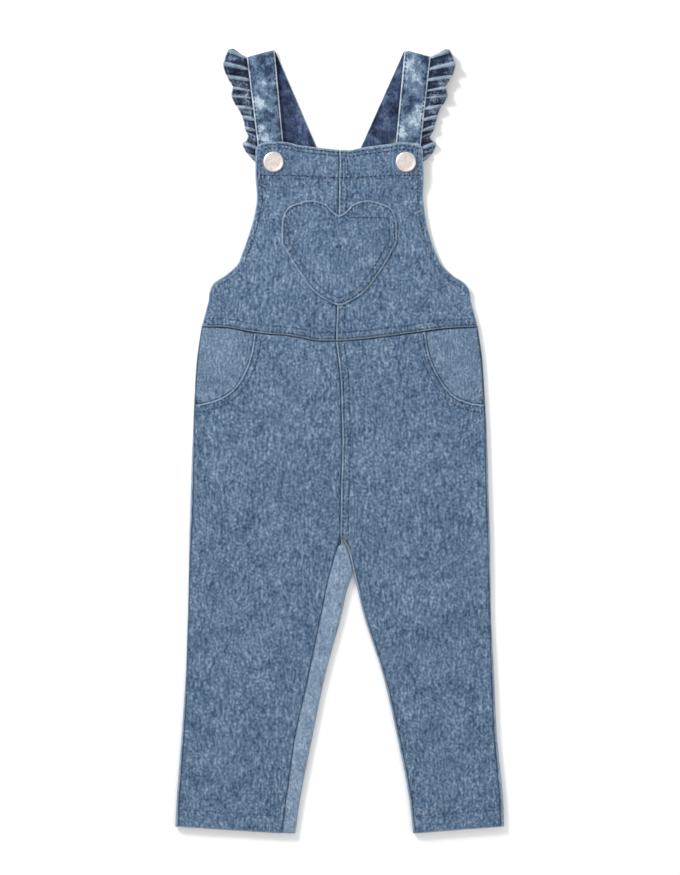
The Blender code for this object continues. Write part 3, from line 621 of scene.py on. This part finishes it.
def frontBib(side):
    column = 1 if side == "left" else 2
    sign = -1 if side == "left" else 1
    outline = seamLines[side, "bib"]
    outer = resample(outline, 110)
    dense = outer[:, 1]
    inset = np.where(dense < armholeY - 1, 1.15, 0.0)
    outer = np.stack([outer[:, 0] - sign * inset, dense], 1)
    share = (dense - dense[0]) / (dense[-1] - dense[0])
    innerY = mix(alongX(waistLine, -3.0), alongX(topLine, 0.0), share)
    inner = np.stack([levelOf(centreLine, innerY) + sign * 0.15, innerY], 1)
    plan = crossRows(outer, inner, columnPlaces)
    x, y = plan[..., 0], plan[..., 1]
    t = (x - outer[:, :1]) / (inner[:, :1] - outer[:, :1])
    straight = mix(alongX(waistLine, outer[:, :1]), alongX(waistLine, inner[:, :1]), t)
    low = alongX(waistLine, x) + 0.2 - straight
    high = alongX(topLine, x) - mix(alongX(topLine, outer[:, :1]), alongX(topLine, inner[:, :1]), t)
    index = np.arange(len(plan))[:, None]
    y += low * np.clip(1 - index / 22, 0, 1) + high * np.clip(1 - (len(plan) - 1 - index) / 20, 0, 1)
    plan = np.dstack([x, y])
    depth = np.abs(atLevel(bibSide, y, column) - x)
    z = bibHeight(x, y)
    z -= np.where(y < armholeY, crownDrop(depth), 0) * (1 - ease((y - armholeY + 10) / 10))
    dSide = distanceTo(plan, outline[outline[:, 1] > armholeY - 2])
    dTop = distanceTo(plan, topLine)
    dFree = np.minimum(dSide, dTop)
    dWaist = distanceTo(plan, waistLine)
    dCentre = distanceTo(plan, centreLine)
    z += 0.8 * creaseHeight(x, y) * ease(dFree / 8)
    z += seamRelief(dTop, x, y, (2.3, 5.3), 0.3, 0.3) + seamRelief(dSide, x, y, (4.7,), 0.34, 0.32)
    z += seamRelief(dWaist, x, y, (2.0, 7.0), 0.34, 0.4) + bibs["lap"] * (1 - ease(dWaist / 12))
    band = np.abs(y - (225.6 - 1.6 * ease(1 - np.abs(x) / 50)))
    puckers = 0.3 * noiseAt(x, y, 4.4, 9.5) * np.exp(-(band / 4) ** 2)
    z += 0.35 * ease((y - 223.2) / 1.2) - 0.34 * np.exp(-(band / 0.7) ** 2) + puckers
    if side == "right":
        z += seamRelief(dCentre, x, y, (2.2, 6.8)) + 0.35 * (1 - ease(dCentre / 10))
    else:
        z -= 0.5 * (1 - ease(dCentre / 2.5))
    edge = np.minimum(dFree, np.minimum(dWaist, dCentre if side == "right" else 99))
    edge = np.minimum(edge, np.abs(y - 224.4) + 0.5 + 2.0 * ease((62 - np.abs(x)) / 8))
    # painted shade around the raised heart pocket, under the lapped centre seam on the left, and below the
    # band's step
    dHeart = distanceTo(plan, heartLine) + np.where(insideHeart(plan), 99, 0.2)
    paintedShade = np.minimum(dCentre if side == "left" else 99, dHeart)
    paintedShade = np.minimum(paintedShade, np.abs(y - 223.0) + 0.5)
    grid = np.dstack([x, y, z])
    thickness = bibs["thickness"]
    obj = clothSheet("frontBib_" + side, grid, denimFront, thickness, edge, paintedShade, flip=side == "right")
    return finishPiece(obj, "front_bib_" + side)


heartRight = smoothCurve(heartHalf, 1.5)
heartLine = np.concatenate([heartRight, heartRight[-2:0:-1] * (-1, 1), heartRight[:1]]) - (0.3, 0)


def insideHeart(points):
    x, y = points[..., 0], points[..., 1]
    inside = np.zeros(x.shape, bool)
    for (ax, ay), (bx, by) in zip(heartLine, heartLine[1:]):
        crosses = (ay > y) != (by > y)
        with np.errstate(divide="ignore", invalid="ignore"):
            inside ^= crosses & (x < (bx - ax) * (y - ay) / (by - ay + 1e-12) + ax)
    return inside


def backBib():
    grid = []
    rows = ((97.3, 117.4), (108.5, 114.4), (119.4, 111.5), (129.2, 109.8), (136, 99.0), (146, 84.0),
            (162, 67.0), (184, 50.0), (211, 34.0))
    line = smoothCurve(rows, 3.0)
    for y, half in line:
        wrapped = y < armholeY - 1
        left = section(-half, 0.85 - half, -1, wrapped)
        right = section(half, half - 0.85, 1, wrapped)
        flat = [(mix(left[-1][0], right[-1][0], t), 0.0) for t in np.linspace(0, 1, 18)[1:-1]]
        rise = 8.9 * ease((y - 190) / 21)
        dip = 11.8 * ease((130 - y) / 33)  # the lower edge follows the waist down to the middle
        run = left + flat + right[::-1]
        grid.append([(x, y + rise * (1 - abs(x) / half) - dip * (1 - abs(x) / half), z) for x, z in run])
    grid = np.array(grid)
    far = np.full(grid.shape[:2], 99.0)
    obj = clothSheet("backBib", grid, denimBackLit, 1.1, far, far, flip=True)
    return finishPiece(obj, "back_bib")


hearts = {"thickness": 0.9, "proud": 1.25}


def heartPocket():
    outline = resample(heartLine, 240)[:-1]
    rings = np.concatenate([np.linspace(0, 0.82, 22)[1:], np.linspace(0.82, 1.0, 20)[1:]])
    middle = np.array([0.0, 164.0])
    plan = np.array([[mix(middle, p, r) for p in outline] + [mix(middle, outline[0], r)] for r in rings])
    x, y = plan[..., 0], plan[..., 1]
    d = distanceTo(plan, heartLine)
    lobes = ease((y - 192) / 6)
    z = bibHeight(x, y) + hearts["proud"] + 0.8 * creaseHeight(x, y)
    z += seamRelief(d, x, y, (2.1,), 0.34, 0.34)
    z -= 0.28 * np.exp(-((d - 6.4) / 0.55) ** 2) * (1 - lobes)
    z += 0.5 * np.exp(-((x * 0.9) ** 2 + (y - 188) ** 2) / 260) + 0.3 * ease((y - 190) / 10)
    paintedShade = np.full(x.shape, 99.0)
    grid = np.dstack([x, y, z])
    obj = clothSheet("heartPocket", grid, denimFront, hearts["thickness"], d, paintedShade)
    tidy = bmesh.new()
    tidy.from_mesh(obj.data)
    bmesh.ops.remove_doubles(tidy, verts=tidy.verts, dist=0.00002)
    holes = [e for e in tidy.edges if len(e.link_faces) == 1]
    if holes:
        bmesh.ops.holes_fill(tidy, edges=holes)
    tidy.to_mesh(obj.data)
    tidy.free()
    return finishPiece(obj, "heart_pocket")


# straps
straps = {
    "left": {"fold": (-66.9, 329.3), "tilt": 14.7, "lean": -8.5, "half": (10.9, 12.1)},
    "right": {"fold": (66.1, 329.4), "tilt": -15.0, "lean": 9.1, "half": (10.6, 11.3)},
}
foldRadius = {"outer": 2.25, "lining": 0.85}


def strapPoint(side, share, distance, ply, rise=0.0):
    spec = straps[side]
    tilt, lean = math.radians(spec["tilt"]), math.radians(spec["lean"])
    along = np.array((math.cos(tilt), math.sin(tilt)))
    down = np.array((math.sin(tilt), -math.cos(tilt)))
    radius = foldRadius[ply]
    half = mix(spec["half"][1], spec["half"][0], min(max(distance, 0.0) / 77, 1.0))
    across = math.tan(lean) * distance + share * half / math.cos(lean)
    turn = radius * math.pi / 2
    if abs(distance) < turn:
        reach = -(radius + rise) * math.cos(distance / radius)
        z = 2.75 + (radius + rise) * math.sin(distance / radius)
    else:
        reach = abs(distance) - turn
        z = 2.75 + math.copysign(radius + rise, distance)
    spot = np.array(spec["fold"]) + down * foldRadius["outer"] + along * across + down * reach
    if distance > 0:
        z -= 2.8 * float(ease((reach - 72.5) / 13.0))
    return np.array((spot[0], spot[1], z))


def strap(side, ply):
    turn = foldRadius[ply] * math.pi / 2
    distances = np.concatenate([np.linspace(turn + 103.5, turn, 90), np.linspace(turn, -turn, 14)[1:],
                                np.linspace(-turn, -turn - 120.2, 60)[1:]])
    middle = np.linspace(-0.66, 0.66, 12)[1:-1]
    shares = np.concatenate([np.linspace(-1, -0.66, 12), middle, np.linspace(0.66, 1, 12)])
    width = straps[side]["half"][1]
    grid = []
    for d in distances:
        row = []
        for s in shares:
            inset = width * (1 - abs(s))
            relief = -0.4 * math.exp(-(inset / 0.5) ** 2) - 0.26 * math.exp(-((inset - 1.9) / 0.55) ** 2)
            relief += 0.26 * noise.noise(Vector((d / 4.6, s * 2.2, 3.3 if ply == "outer" else 8.1)))
            relief = relief * 0.8 + (0.42 if ply == "outer" else 0.3)
            if ply == "lining":
                relief = -relief * 0.7  # its face side looks into the fold
            row.append(strapPoint(side, s, d, ply, relief))
        grid.append(row)
    grid = np.array(grid)
    # pale strap edges: partly worn fading, partly painted highlight
    edge = np.broadcast_to(width * (1 - np.abs(shares)), grid.shape[:2])
    far = np.full(grid.shape[:2], 99.0)
    material = strapDenim if ply == "outer" else strapLiningShaded
    name = "strap_" if ply == "outer" else "strapLining_"
    obj = clothSheet(name + side, grid, material, 0.8 if ply == "outer" else -0.8, edge, far, flip=False)
    nodeName = "strap_" + side if ply == "outer" else "strap_lining_" + side
    return finishPiece(obj, nodeName)


# the gathers are deep enough for the sheet to hold most of the strip it is cut from
gathers = {"depth": 1.8, "backDepth": 0.35, "fullWidth": 12.0, "pitchOne": 0.74, "pitchTwo": 1.31}
# frill: distance along the strap's edge, free edge x, y, height of the free edge
frills = {
    "left": (
        (90, -72.6, 239.2, 1.2), (86, -77.6, 243.6, 1.6), (80, -81.9, 250.6, 3.2),
        (76, -81.2, 254.4, 1.4), (72, -77.8, 258.2, 3.6), (67, -78.9, 262.6, 2.0),
        (60, -80.8, 267.6, 4.4), (53, -82.3, 275.6, 2.4), (46, -85.6, 281.8, 5.6),
        (39, -89.6, 288.0, 3.6), (33, -92.1, 294.6, 7.0), (28, -90.4, 300.4, 4.2),
        (23, -93.2, 305.2, 7.8), (17, -96.8, 311.8, 5.0), (11, -98.6, 319.0, 8.0),
        (5, -97.2, 326.2, 6.4), (1, -94.4, 331.0, 5.6), (-3, -90.6, 333.4, 2.6),
        (-10, -87.6, 326.0, 0.9), (-18, -83.6, 315.0, 0.9), (-27, -78.4, 303.5, 0.9),
        (-34, -73.6, 291.6, 0.9),
    ),
    "right": (
        (90, 72.4, 239.2, 1.2), (86, 77.4, 243.2, 1.6), (80, 81.2, 250.0, 3.2),
        (76, 80.6, 254.6, 1.4), (72, 76.6, 258.2, 3.4), (67, 78.9, 262.6, 2.0),
        (60, 81.4, 269.0, 4.6), (53, 82.8, 275.6, 2.4), (46, 85.4, 282.6, 5.2),
        (39, 89.4, 288.6, 3.4), (33, 92.0, 294.6, 6.8), (28, 90.2, 300.4, 4.4),
        (23, 92.8, 305.6, 7.4), (17, 96.2, 311.4, 4.8), (11, 98.1, 319.0, 8.2),
        (5, 96.6, 326.0, 6.0), (1, 93.6, 330.6, 6.0), (-3, 90.4, 332.8, 2.6),
        (-10, 87.2, 325.6, 0.9), (-18, 83.0, 314.6, 0.9), (-27, 77.8, 303.2, 0.9),
        (-34, 73.0, 291.4, 0.9),
    ),
}


def frill(side):
    sign = -1 if side == "left" else 1
    table = np.array(frills[side])
    smooth = smoothCurve(table, 0.8)
    smooth = smooth[np.argsort(-smooth[:, 0], kind="stable")]
    places = np.linspace(90, -34, 300)
    order = np.argsort(smooth[:, 0])
    free = np.stack([np.interp(places, smooth[order, 0], smooth[order, k]) for k in (1, 2, 3)], 1)
    across = np.concatenate([np.linspace(0, 0.7, 9), np.linspace(0.7, 1, 8)[1:]])
    grid, edge = [], []
    for d, tip in zip(places, free):
        base = (strapPoint(side, sign, d, "outer") + strapPoint(side, sign, d, "lining")) / 2
        away = np.array((tip[0] - base[0], tip[1] - base[1], 0.0))
        width = np.linalg.norm(away)
        away /= width
        base = base + away * 0.55
        drift = 1.1 * noise.noise(Vector((d / 9, 1.7, 0)))
        wave = math.sin(d * gathers["pitchOne"] + drift) + 0.6 * math.sin(d * gathers["pitchTwo"] + 0.7)
        row = []
        for t in across:
            p = mix(base, tip, t)
            if d > -2:
                gather = gathers["depth"] * wave * math.sin(math.pi * min(t * 0.72, 1))
            else:
                gather = gathers["backDepth"] * wave * t
            gather *= min(1.0, width / gathers["fullWidth"])
            p[2] = p[2] + gather + (0.5 * math.sin(math.pi * t) * (1 if d > 0 else 0))
            p[1] += 0.35 * wave * t * (d > 0)
            row.append(p)
        grid.append(row)
        # painted highlight along the top of each gather
        crestHighlight = 2.6 * (1 - max(0.0, wave) ** 3)
        hem = abs(width * (1 - across) - 3.0) + 0.6
        edge.append(np.minimum(np.minimum(width * (1 - across), hem), crestHighlight + 0.5))
    grid = np.array(grid)
    grid[..., 2] = np.clip(grid[..., 2], 0.9, 9.6)
    # painted shade at the frill's root, where it tucks under the strap
    far = np.array([[max(0.1, t * 8) for t in across]] * len(places))
    obj = clothSheet("frill_" + side, grid, frillDenimShaded, 0.7, np.array(edge), far, flip=side == "right")
    return finishPiece(obj, "frill_" + side)


# stitching: one small thread end-dipped capsule, copied along each row
stitches = {"pitch": 3.6, "length": 2.7, "radius": 0.36, "sink": 0.1}


def capsule(steps=7, sides=6):
    rings = []
    for i in range(steps):
        t = i / (steps - 1) * 2 - 1
        r = math.sqrt(max(0.02, 1 - t ** 4))
        dip = 0.9 * t ** 4  # the ends go down into the cloth
        angles = [k * math.tau / sides for k in range(sides)]
        rings.append([(t * 0.5, r * math.cos(a), r * math.sin(a) - dip) for a in angles])
    verts = [v for ring in rings for v in ring]
    faces = []
    for i in range(steps - 1):
        here, there = i * sides, (i + 1) * sides
        for k in range(sides):
            after = (k + 1) % sides
            faces.append((here + k, here + after, there + after, there + k))
    faces += [tuple(range(sides))[::-1], tuple(range((steps - 1) * sides, steps * sides))]
    return np.array(verts), faces


capsuleVerts, capsuleFaces = capsule()


def castDown(objects, x, y):
    best = None
    for obj in objects:
        hit, spot, normal, index = obj.ray_cast(Vector((x * mm, y * mm, 0.05)), Vector((0, 0, -1)))
        if hit and (best is None or spot.z > best):
            best = spot.z
    return None if best is None else best / mm


def stitchRows(name, curves, ground):
    # lays stitches along plan curves on top of the cloth under them
    verts, faces = [], []
    for curve in curves:
        steps = np.concatenate([[0], np.cumsum(np.linalg.norm(np.diff(curve, axis=0), axis=1))])
        at = np.arange(1.2, steps[-1] - 1.4, stitches["pitch"])
        for k, s in enumerate(at):
            ends = [np.array([np.interp(s + o, steps, curve[:, c]) for c in (0, 1)]) for o in (-1.35, 1.35)]
            heights = [castDown(ground, *e) for e in ends]
            if None in heights:
                continue
            a, b = [np.array((e[0], e[1], h)) for e, h in zip(ends, heights)]
            along = (b - a) / np.linalg.norm(b - a)
            sideways = np.cross((0, 0, 1.0), along)
            up = np.cross(along, sideways)
            radius = stitches["radius"] * (1 + 0.12 * math.sin(k * 2.4))
            base = len(verts)
            middle = (a + b) / 2 + up * (radius - stitches["sink"])
            for u, v, w in capsuleVerts:
                spot = middle + along * u * stitches["length"]
                verts.append(spot + sideways * v * radius + up * w * radius)
            faces += [tuple(i + base for i in f) for f in capsuleFaces]
    obj = addMesh(name, np.array(verts), faces, navyThread)
    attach(obj, "root")
    print(name, "with", len(verts) // len(capsuleVerts), "stitches")
    return obj


# metal snaps, turned from a primitive disc
caps = {"x": 56.2, "y": 236.8, "base": 7.3, "radius": 8.8,
        "rings": ((8.75, 0.9), (8.2, 1.75), (7.5, 2.05), (6.9, 1.95), (6.5, 1.5), (5.9, 1.45), (3.2, 1.62))}


def metal():
    material = bpy.data.materials.new("snapMetal")
    material.use_nodes = True
    tree = material.node_tree
    shader = tree.nodes["Principled BSDF"]
    place = tree.nodes.new("ShaderNodeTexCoord").outputs["Object"]
    haze = noiseNode(tree, place, 3.0, 4.0, 0.6)
    fine = noiseNode(tree, place, 0.6, 2.0, 0.6)
    tree.links.new(mixColour(tree, ramp(tree, haze, 0.3, 0.7), colour(226, 210, 204), colour(244, 238, 232)),
                   shader.inputs["Base Color"])
    tree.links.new(ramp(tree, fine, 0.3, 0.7, 0.28, 0.46), shader.inputs["Roughness"])
    shader.inputs["Metallic"].default_value = 0.85
    return material


def snapCap(side, material):
    sign = -1 if side == "left" else 1
    bpy.ops.object.select_all(action="DESELECT")
    place = (sign * caps["x"] * mm, caps["y"] * mm, (caps["base"] + 0.3) * mm)
    radius = caps["radius"] * mm
    bpy.ops.mesh.primitive_cylinder_add(vertices=64, radius=radius, depth=0.6 * mm, location=place)
    obj = bpy.context.object
    obj.name = "snapCap_" + side
    bpy.ops.object.transform_apply(location=True, rotation=True, scale=True)
    bpy.ops.object.mode_set(mode="EDIT")
    mesh = bmesh.from_edit_mesh(obj.data)
    for face in mesh.faces:
        face.select = face.normal.z > 0.9
    bmesh.update_edit_mesh(obj.data)
    centre = (sign * caps["x"] * mm, caps["y"] * mm, 0)
    before, level = caps["radius"], 0.6
    for radius, height in caps["rings"]:
        bpy.ops.mesh.extrude_region_move(TRANSFORM_OT_translate={"value": (0, 0, (height - level) * mm)})
        bpy.ops.transform.resize(value=(radius / before, radius / before, 1), center_override=centre)
        before, level = radius, height
    bpy.ops.mesh.poke()
    bpy.ops.object.mode_set(mode="OBJECT")
    obj.data.materials.clear()
    obj.data.materials.append(material)
    bevel = obj.modifiers.new("soften", "BEVEL")
    bevel.width = 0.12 * mm
    bevel.segments = 2
    bevel.limit_method = "ANGLE"
    bpy.ops.object.modifier_apply(modifier=bevel.name)
    bpy.ops.object.shade_smooth_by_angle(angle=math.radians(40))
    return finishPiece(obj, "snap_cap_" + side)


made = {}
for side in ("left", "right"):
    made["leg", side] = frontLeg(side)
    made["back", side] = backLeg(side)
    made["facing", side] = hipFacing(side)
    made["bib", side] = frontBib(side)
    made["strap", side] = strap(side, "outer")
    made["lining", side] = strap(side, "lining")
    made["frill", side] = frill(side)
made["backBib"] = backBib()
made["heart"] = heartPocket()
snapMetal = metal()
for side in ("left", "right"):
    made["cap", side] = snapCap(side, snapMetal)
    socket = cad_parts["snap_socket_" + side]
    socket.data.materials.clear()
    socket.data.materials.append(snapMetal)
print("cloth made")


def clip(curve, keep):
    return curve[keep(curve)]


bpy.context.view_layer.update()
bibGround = [made["bib", "left"], made["bib", "right"]]
legGround = [made["leg", "left"], made["leg", "right"]]
rowsBib, rowsLeg, rowsStrap = [], [], []
for offset in (2.3, 5.3):
    rowsBib.append(clip(offsetCurve(topLine, -offset), lambda c: np.abs(c[:, 0]) < 70 - offset * 0.8))
for offset in (2.0, 7.0):
    rowsBib.append(clip(offsetCurve(waistLine, offset), lambda c: np.abs(c[:, 0]) < 116))
for offset in (2.2, 6.8):
    rowsBib.append(clip(centreLine + (offset, 0), lambda c: (c[:, 1] > 94) & (c[:, 1] < 240)))
    rowsLeg.append(clip(centreLine + (offset, 0), lambda c: (c[:, 1] < 84) & (c[:, 1] > crotchY + 2)))
for side, sign in (("left", -1), ("right", 1)):
    outline = seamLines[side, "bib"]
    free = outline[outline[:, 1] > armholeY + 3]
    inward = offsetCurve(free, sign * 4.7)
    rowsBib.append(clip(inward, lambda c: c[:, 1] < 247))
    pocket = seamLines[side, "pocket"]
    for offset in (2.0, 6.4):
        moved = offsetCurve(pocket, offset if side == "left" else -offset)
        below = moved[:, 1] < alongX(waistLine, moved[:, 0]) - 1
        rowsLeg.append(moved[(np.abs(moved[:, 0]) < 122) & below])
    hem = np.array([(levelOf(seamLines[side, "side"], -313.4) - sign * 1.0, -313.2),
                    (levelOf(seamLines[side, "inseam"], -318.6) + sign * 1.0, -318.8)])
    rowsLeg.append(resample(hem, 60))
bandX = np.linspace(-68, 68, 80)
rowsBib.append(np.stack([bandX, 225.6 - 1.6 * ease(1 - np.abs(bandX) / 50)], 1))
heartOuter = offsetCurve(resample(heartLine, 300), -2.1)
heartInner = clip(offsetCurve(resample(heartLine, 300), -6.4), lambda c: c[:, 1] < 190)
gap = int(np.argmax(np.linalg.norm(np.diff(heartInner, axis=0), axis=1))) + 1  # the row stops below the lobes
stitchRows("stitchesBib", rowsBib, bibGround)
stitchRows("stitchesHeart", [heartOuter, heartInner[:gap], heartInner[gap:]], [made["heart"]])
stitchRows("stitchesLegs", rowsLeg, legGround)
for side, sign in (("left", -1), ("right", 1)):
    for share in (-0.84, 0.84):
        rowsStrap.append(np.array([strapPoint(side, share, d, "outer")[:2] for d in np.linspace(78, 4, 60)]))
stitchRows("stitchesStraps", rowsStrap, [made["strap", "left"], made["strap", "right"]])

# the cut of each cloth piece: width and length of its blank in metres, and how it lies. The pattern's area is
# worked out from the design curves below and not from the finished mesh
cuts = {
    "leg": (0.15, 0.43, "laid"), "back": (0.19, 0.43, "folded"), "facing": (0.06, 0.08, "laid"),
    "bib": (0.125, 0.172, "laid"), "strap": (0.0235, 0.231, "folded"), "lining": (0.0235, 0.2265, "folded"),
    "frill": (0.026, 0.186, "gathered"), "backBib": (0.245, 0.136, "laid"), "heart": (0.102, 0.092, "laid"),
}
# a guess: a frill is a strip tapering to both ends, 1.5 times as long as the edge it is sewn to
frillShape = 0.62


def between(top, bottom, outer, inner, count=400):
    # plan area in square metres between two edges, each given as a function of height
    y = np.linspace(bottom, top, count)
    return float(np.mean(np.abs(outer(y) - inner(y))) * (top - bottom) * mm * mm)


def patternArea(kind, side):
    if kind in ("strap", "lining"):
        return None  # a plain rectangle
    if kind == "frill":
        return cuts[kind][0] * cuts[kind][1] * frillShape
    if kind == "heart":
        x, y = heartLine[:, 0], heartLine[:, 1]
        return abs(float(np.dot(x, np.roll(y, 1)) - np.dot(y, np.roll(x, 1)))) / 2 * mm * mm
    if kind == "backBib":
        rows = np.array(((97.3, 117.4), (129.2, 109.8), (146, 84), (162, 67), (184, 50), (211, 34)))
        half = lambda y: np.interp(y, rows[:, 0], rows[:, 1])
        return between(211, 91.4, half, lambda y: -half(y))
    edge = {}
    for name in ("side", "inseam", "outline", "inner"):
        edge[name] = lambda y, n=name: levelOf(seamLines[side, n], y)
    centre = lambda y: levelOf(centreLine, y)
    pocket = between(92, 31, edge["side"], lambda y: levelOf(seamLines[side, "pocket"], y))
    if kind == "facing":
        return pocket
    if kind == "leg":
        lower = between(crotchY, -330.6, edge["side"], edge["inseam"])
        return between(90, crotchY, edge["side"], centre) + lower - pocket
    if kind == "bib":
        column = 1 if side == "left" else 2
        return between(250, 91, lambda y: atLevel(bibSide, y, column), centre)
    wrap = math.pi * loft / 2 * mm  # the back panel rolls over each outline, up to the seam
    body = between(91, crotchY, edge["outline"], lambda y: 0 * y) + wrap * (91 - crotchY) * mm
    return body + between(crotchY, -330.6, edge["outline"], edge["inner"]) + between(
        crotchY, -330.6, edge["inner"], edge["inseam"]) + 2 * wrap * (crotchY + 330.6) * mm


print("stitching made")


for key, obj in made.items():
    kind, side = key if isinstance(key, tuple) else (key, None)
    if kind == "cap":
        continue
    area = patternArea(kind, side)

# floor, light and camera
bpy.ops.object.select_all(action="DESELECT")
bpy.ops.mesh.primitive_plane_add(size=6, location=(0, 0, 0))
floor = bpy.context.object
floor.name = "floor"
floorPaint = bpy.data.materials.new("paleFloor")
floorPaint.use_nodes = True
floorPaint.node_tree.nodes["Principled BSDF"].inputs["Base Color"].default_value = (0.93, 0.93, 0.93, 1)
floorPaint.node_tree.nodes["Principled BSDF"].inputs["Roughness"].default_value = 0.9
floor.data.materials.append(floorPaint)

world = bpy.data.worlds.new("studio")
bpy.context.scene.world = world
world.use_nodes = True
world.node_tree.nodes["Background"].inputs[0].default_value = (1, 1, 1, 1)
world.node_tree.nodes["Background"].inputs[1].default_value = 0.7
lights = {"key": ((-1.1, 1.3, 1.0), 36, 0.5), "fill": ((1.2, -0.4, 1.6), 7, 1.2)}
for name, (place, watts, size) in lights.items():
    lamp = bpy.data.lights.new(name, "AREA")
    lamp.energy = watts
    lamp.size = size
    obj = bpy.data.objects.new(name, lamp)
    obj.location = place
    obj.rotation_euler = (-Vector(place)).to_track_quat("-Z", "Y").to_euler()
    bpy.context.scene.collection.objects.link(obj)

camera = bpy.data.cameras.new("camera")
camera.lens = 100
camera.sensor_width = 36
view = bpy.data.objects.new("camera", camera)
view.location = (0.0003, 0.003, 2.07)
bpy.context.scene.collection.objects.link(view)
bpy.context.scene.camera = view
bpy.context.scene.view_settings.view_transform = "Standard"
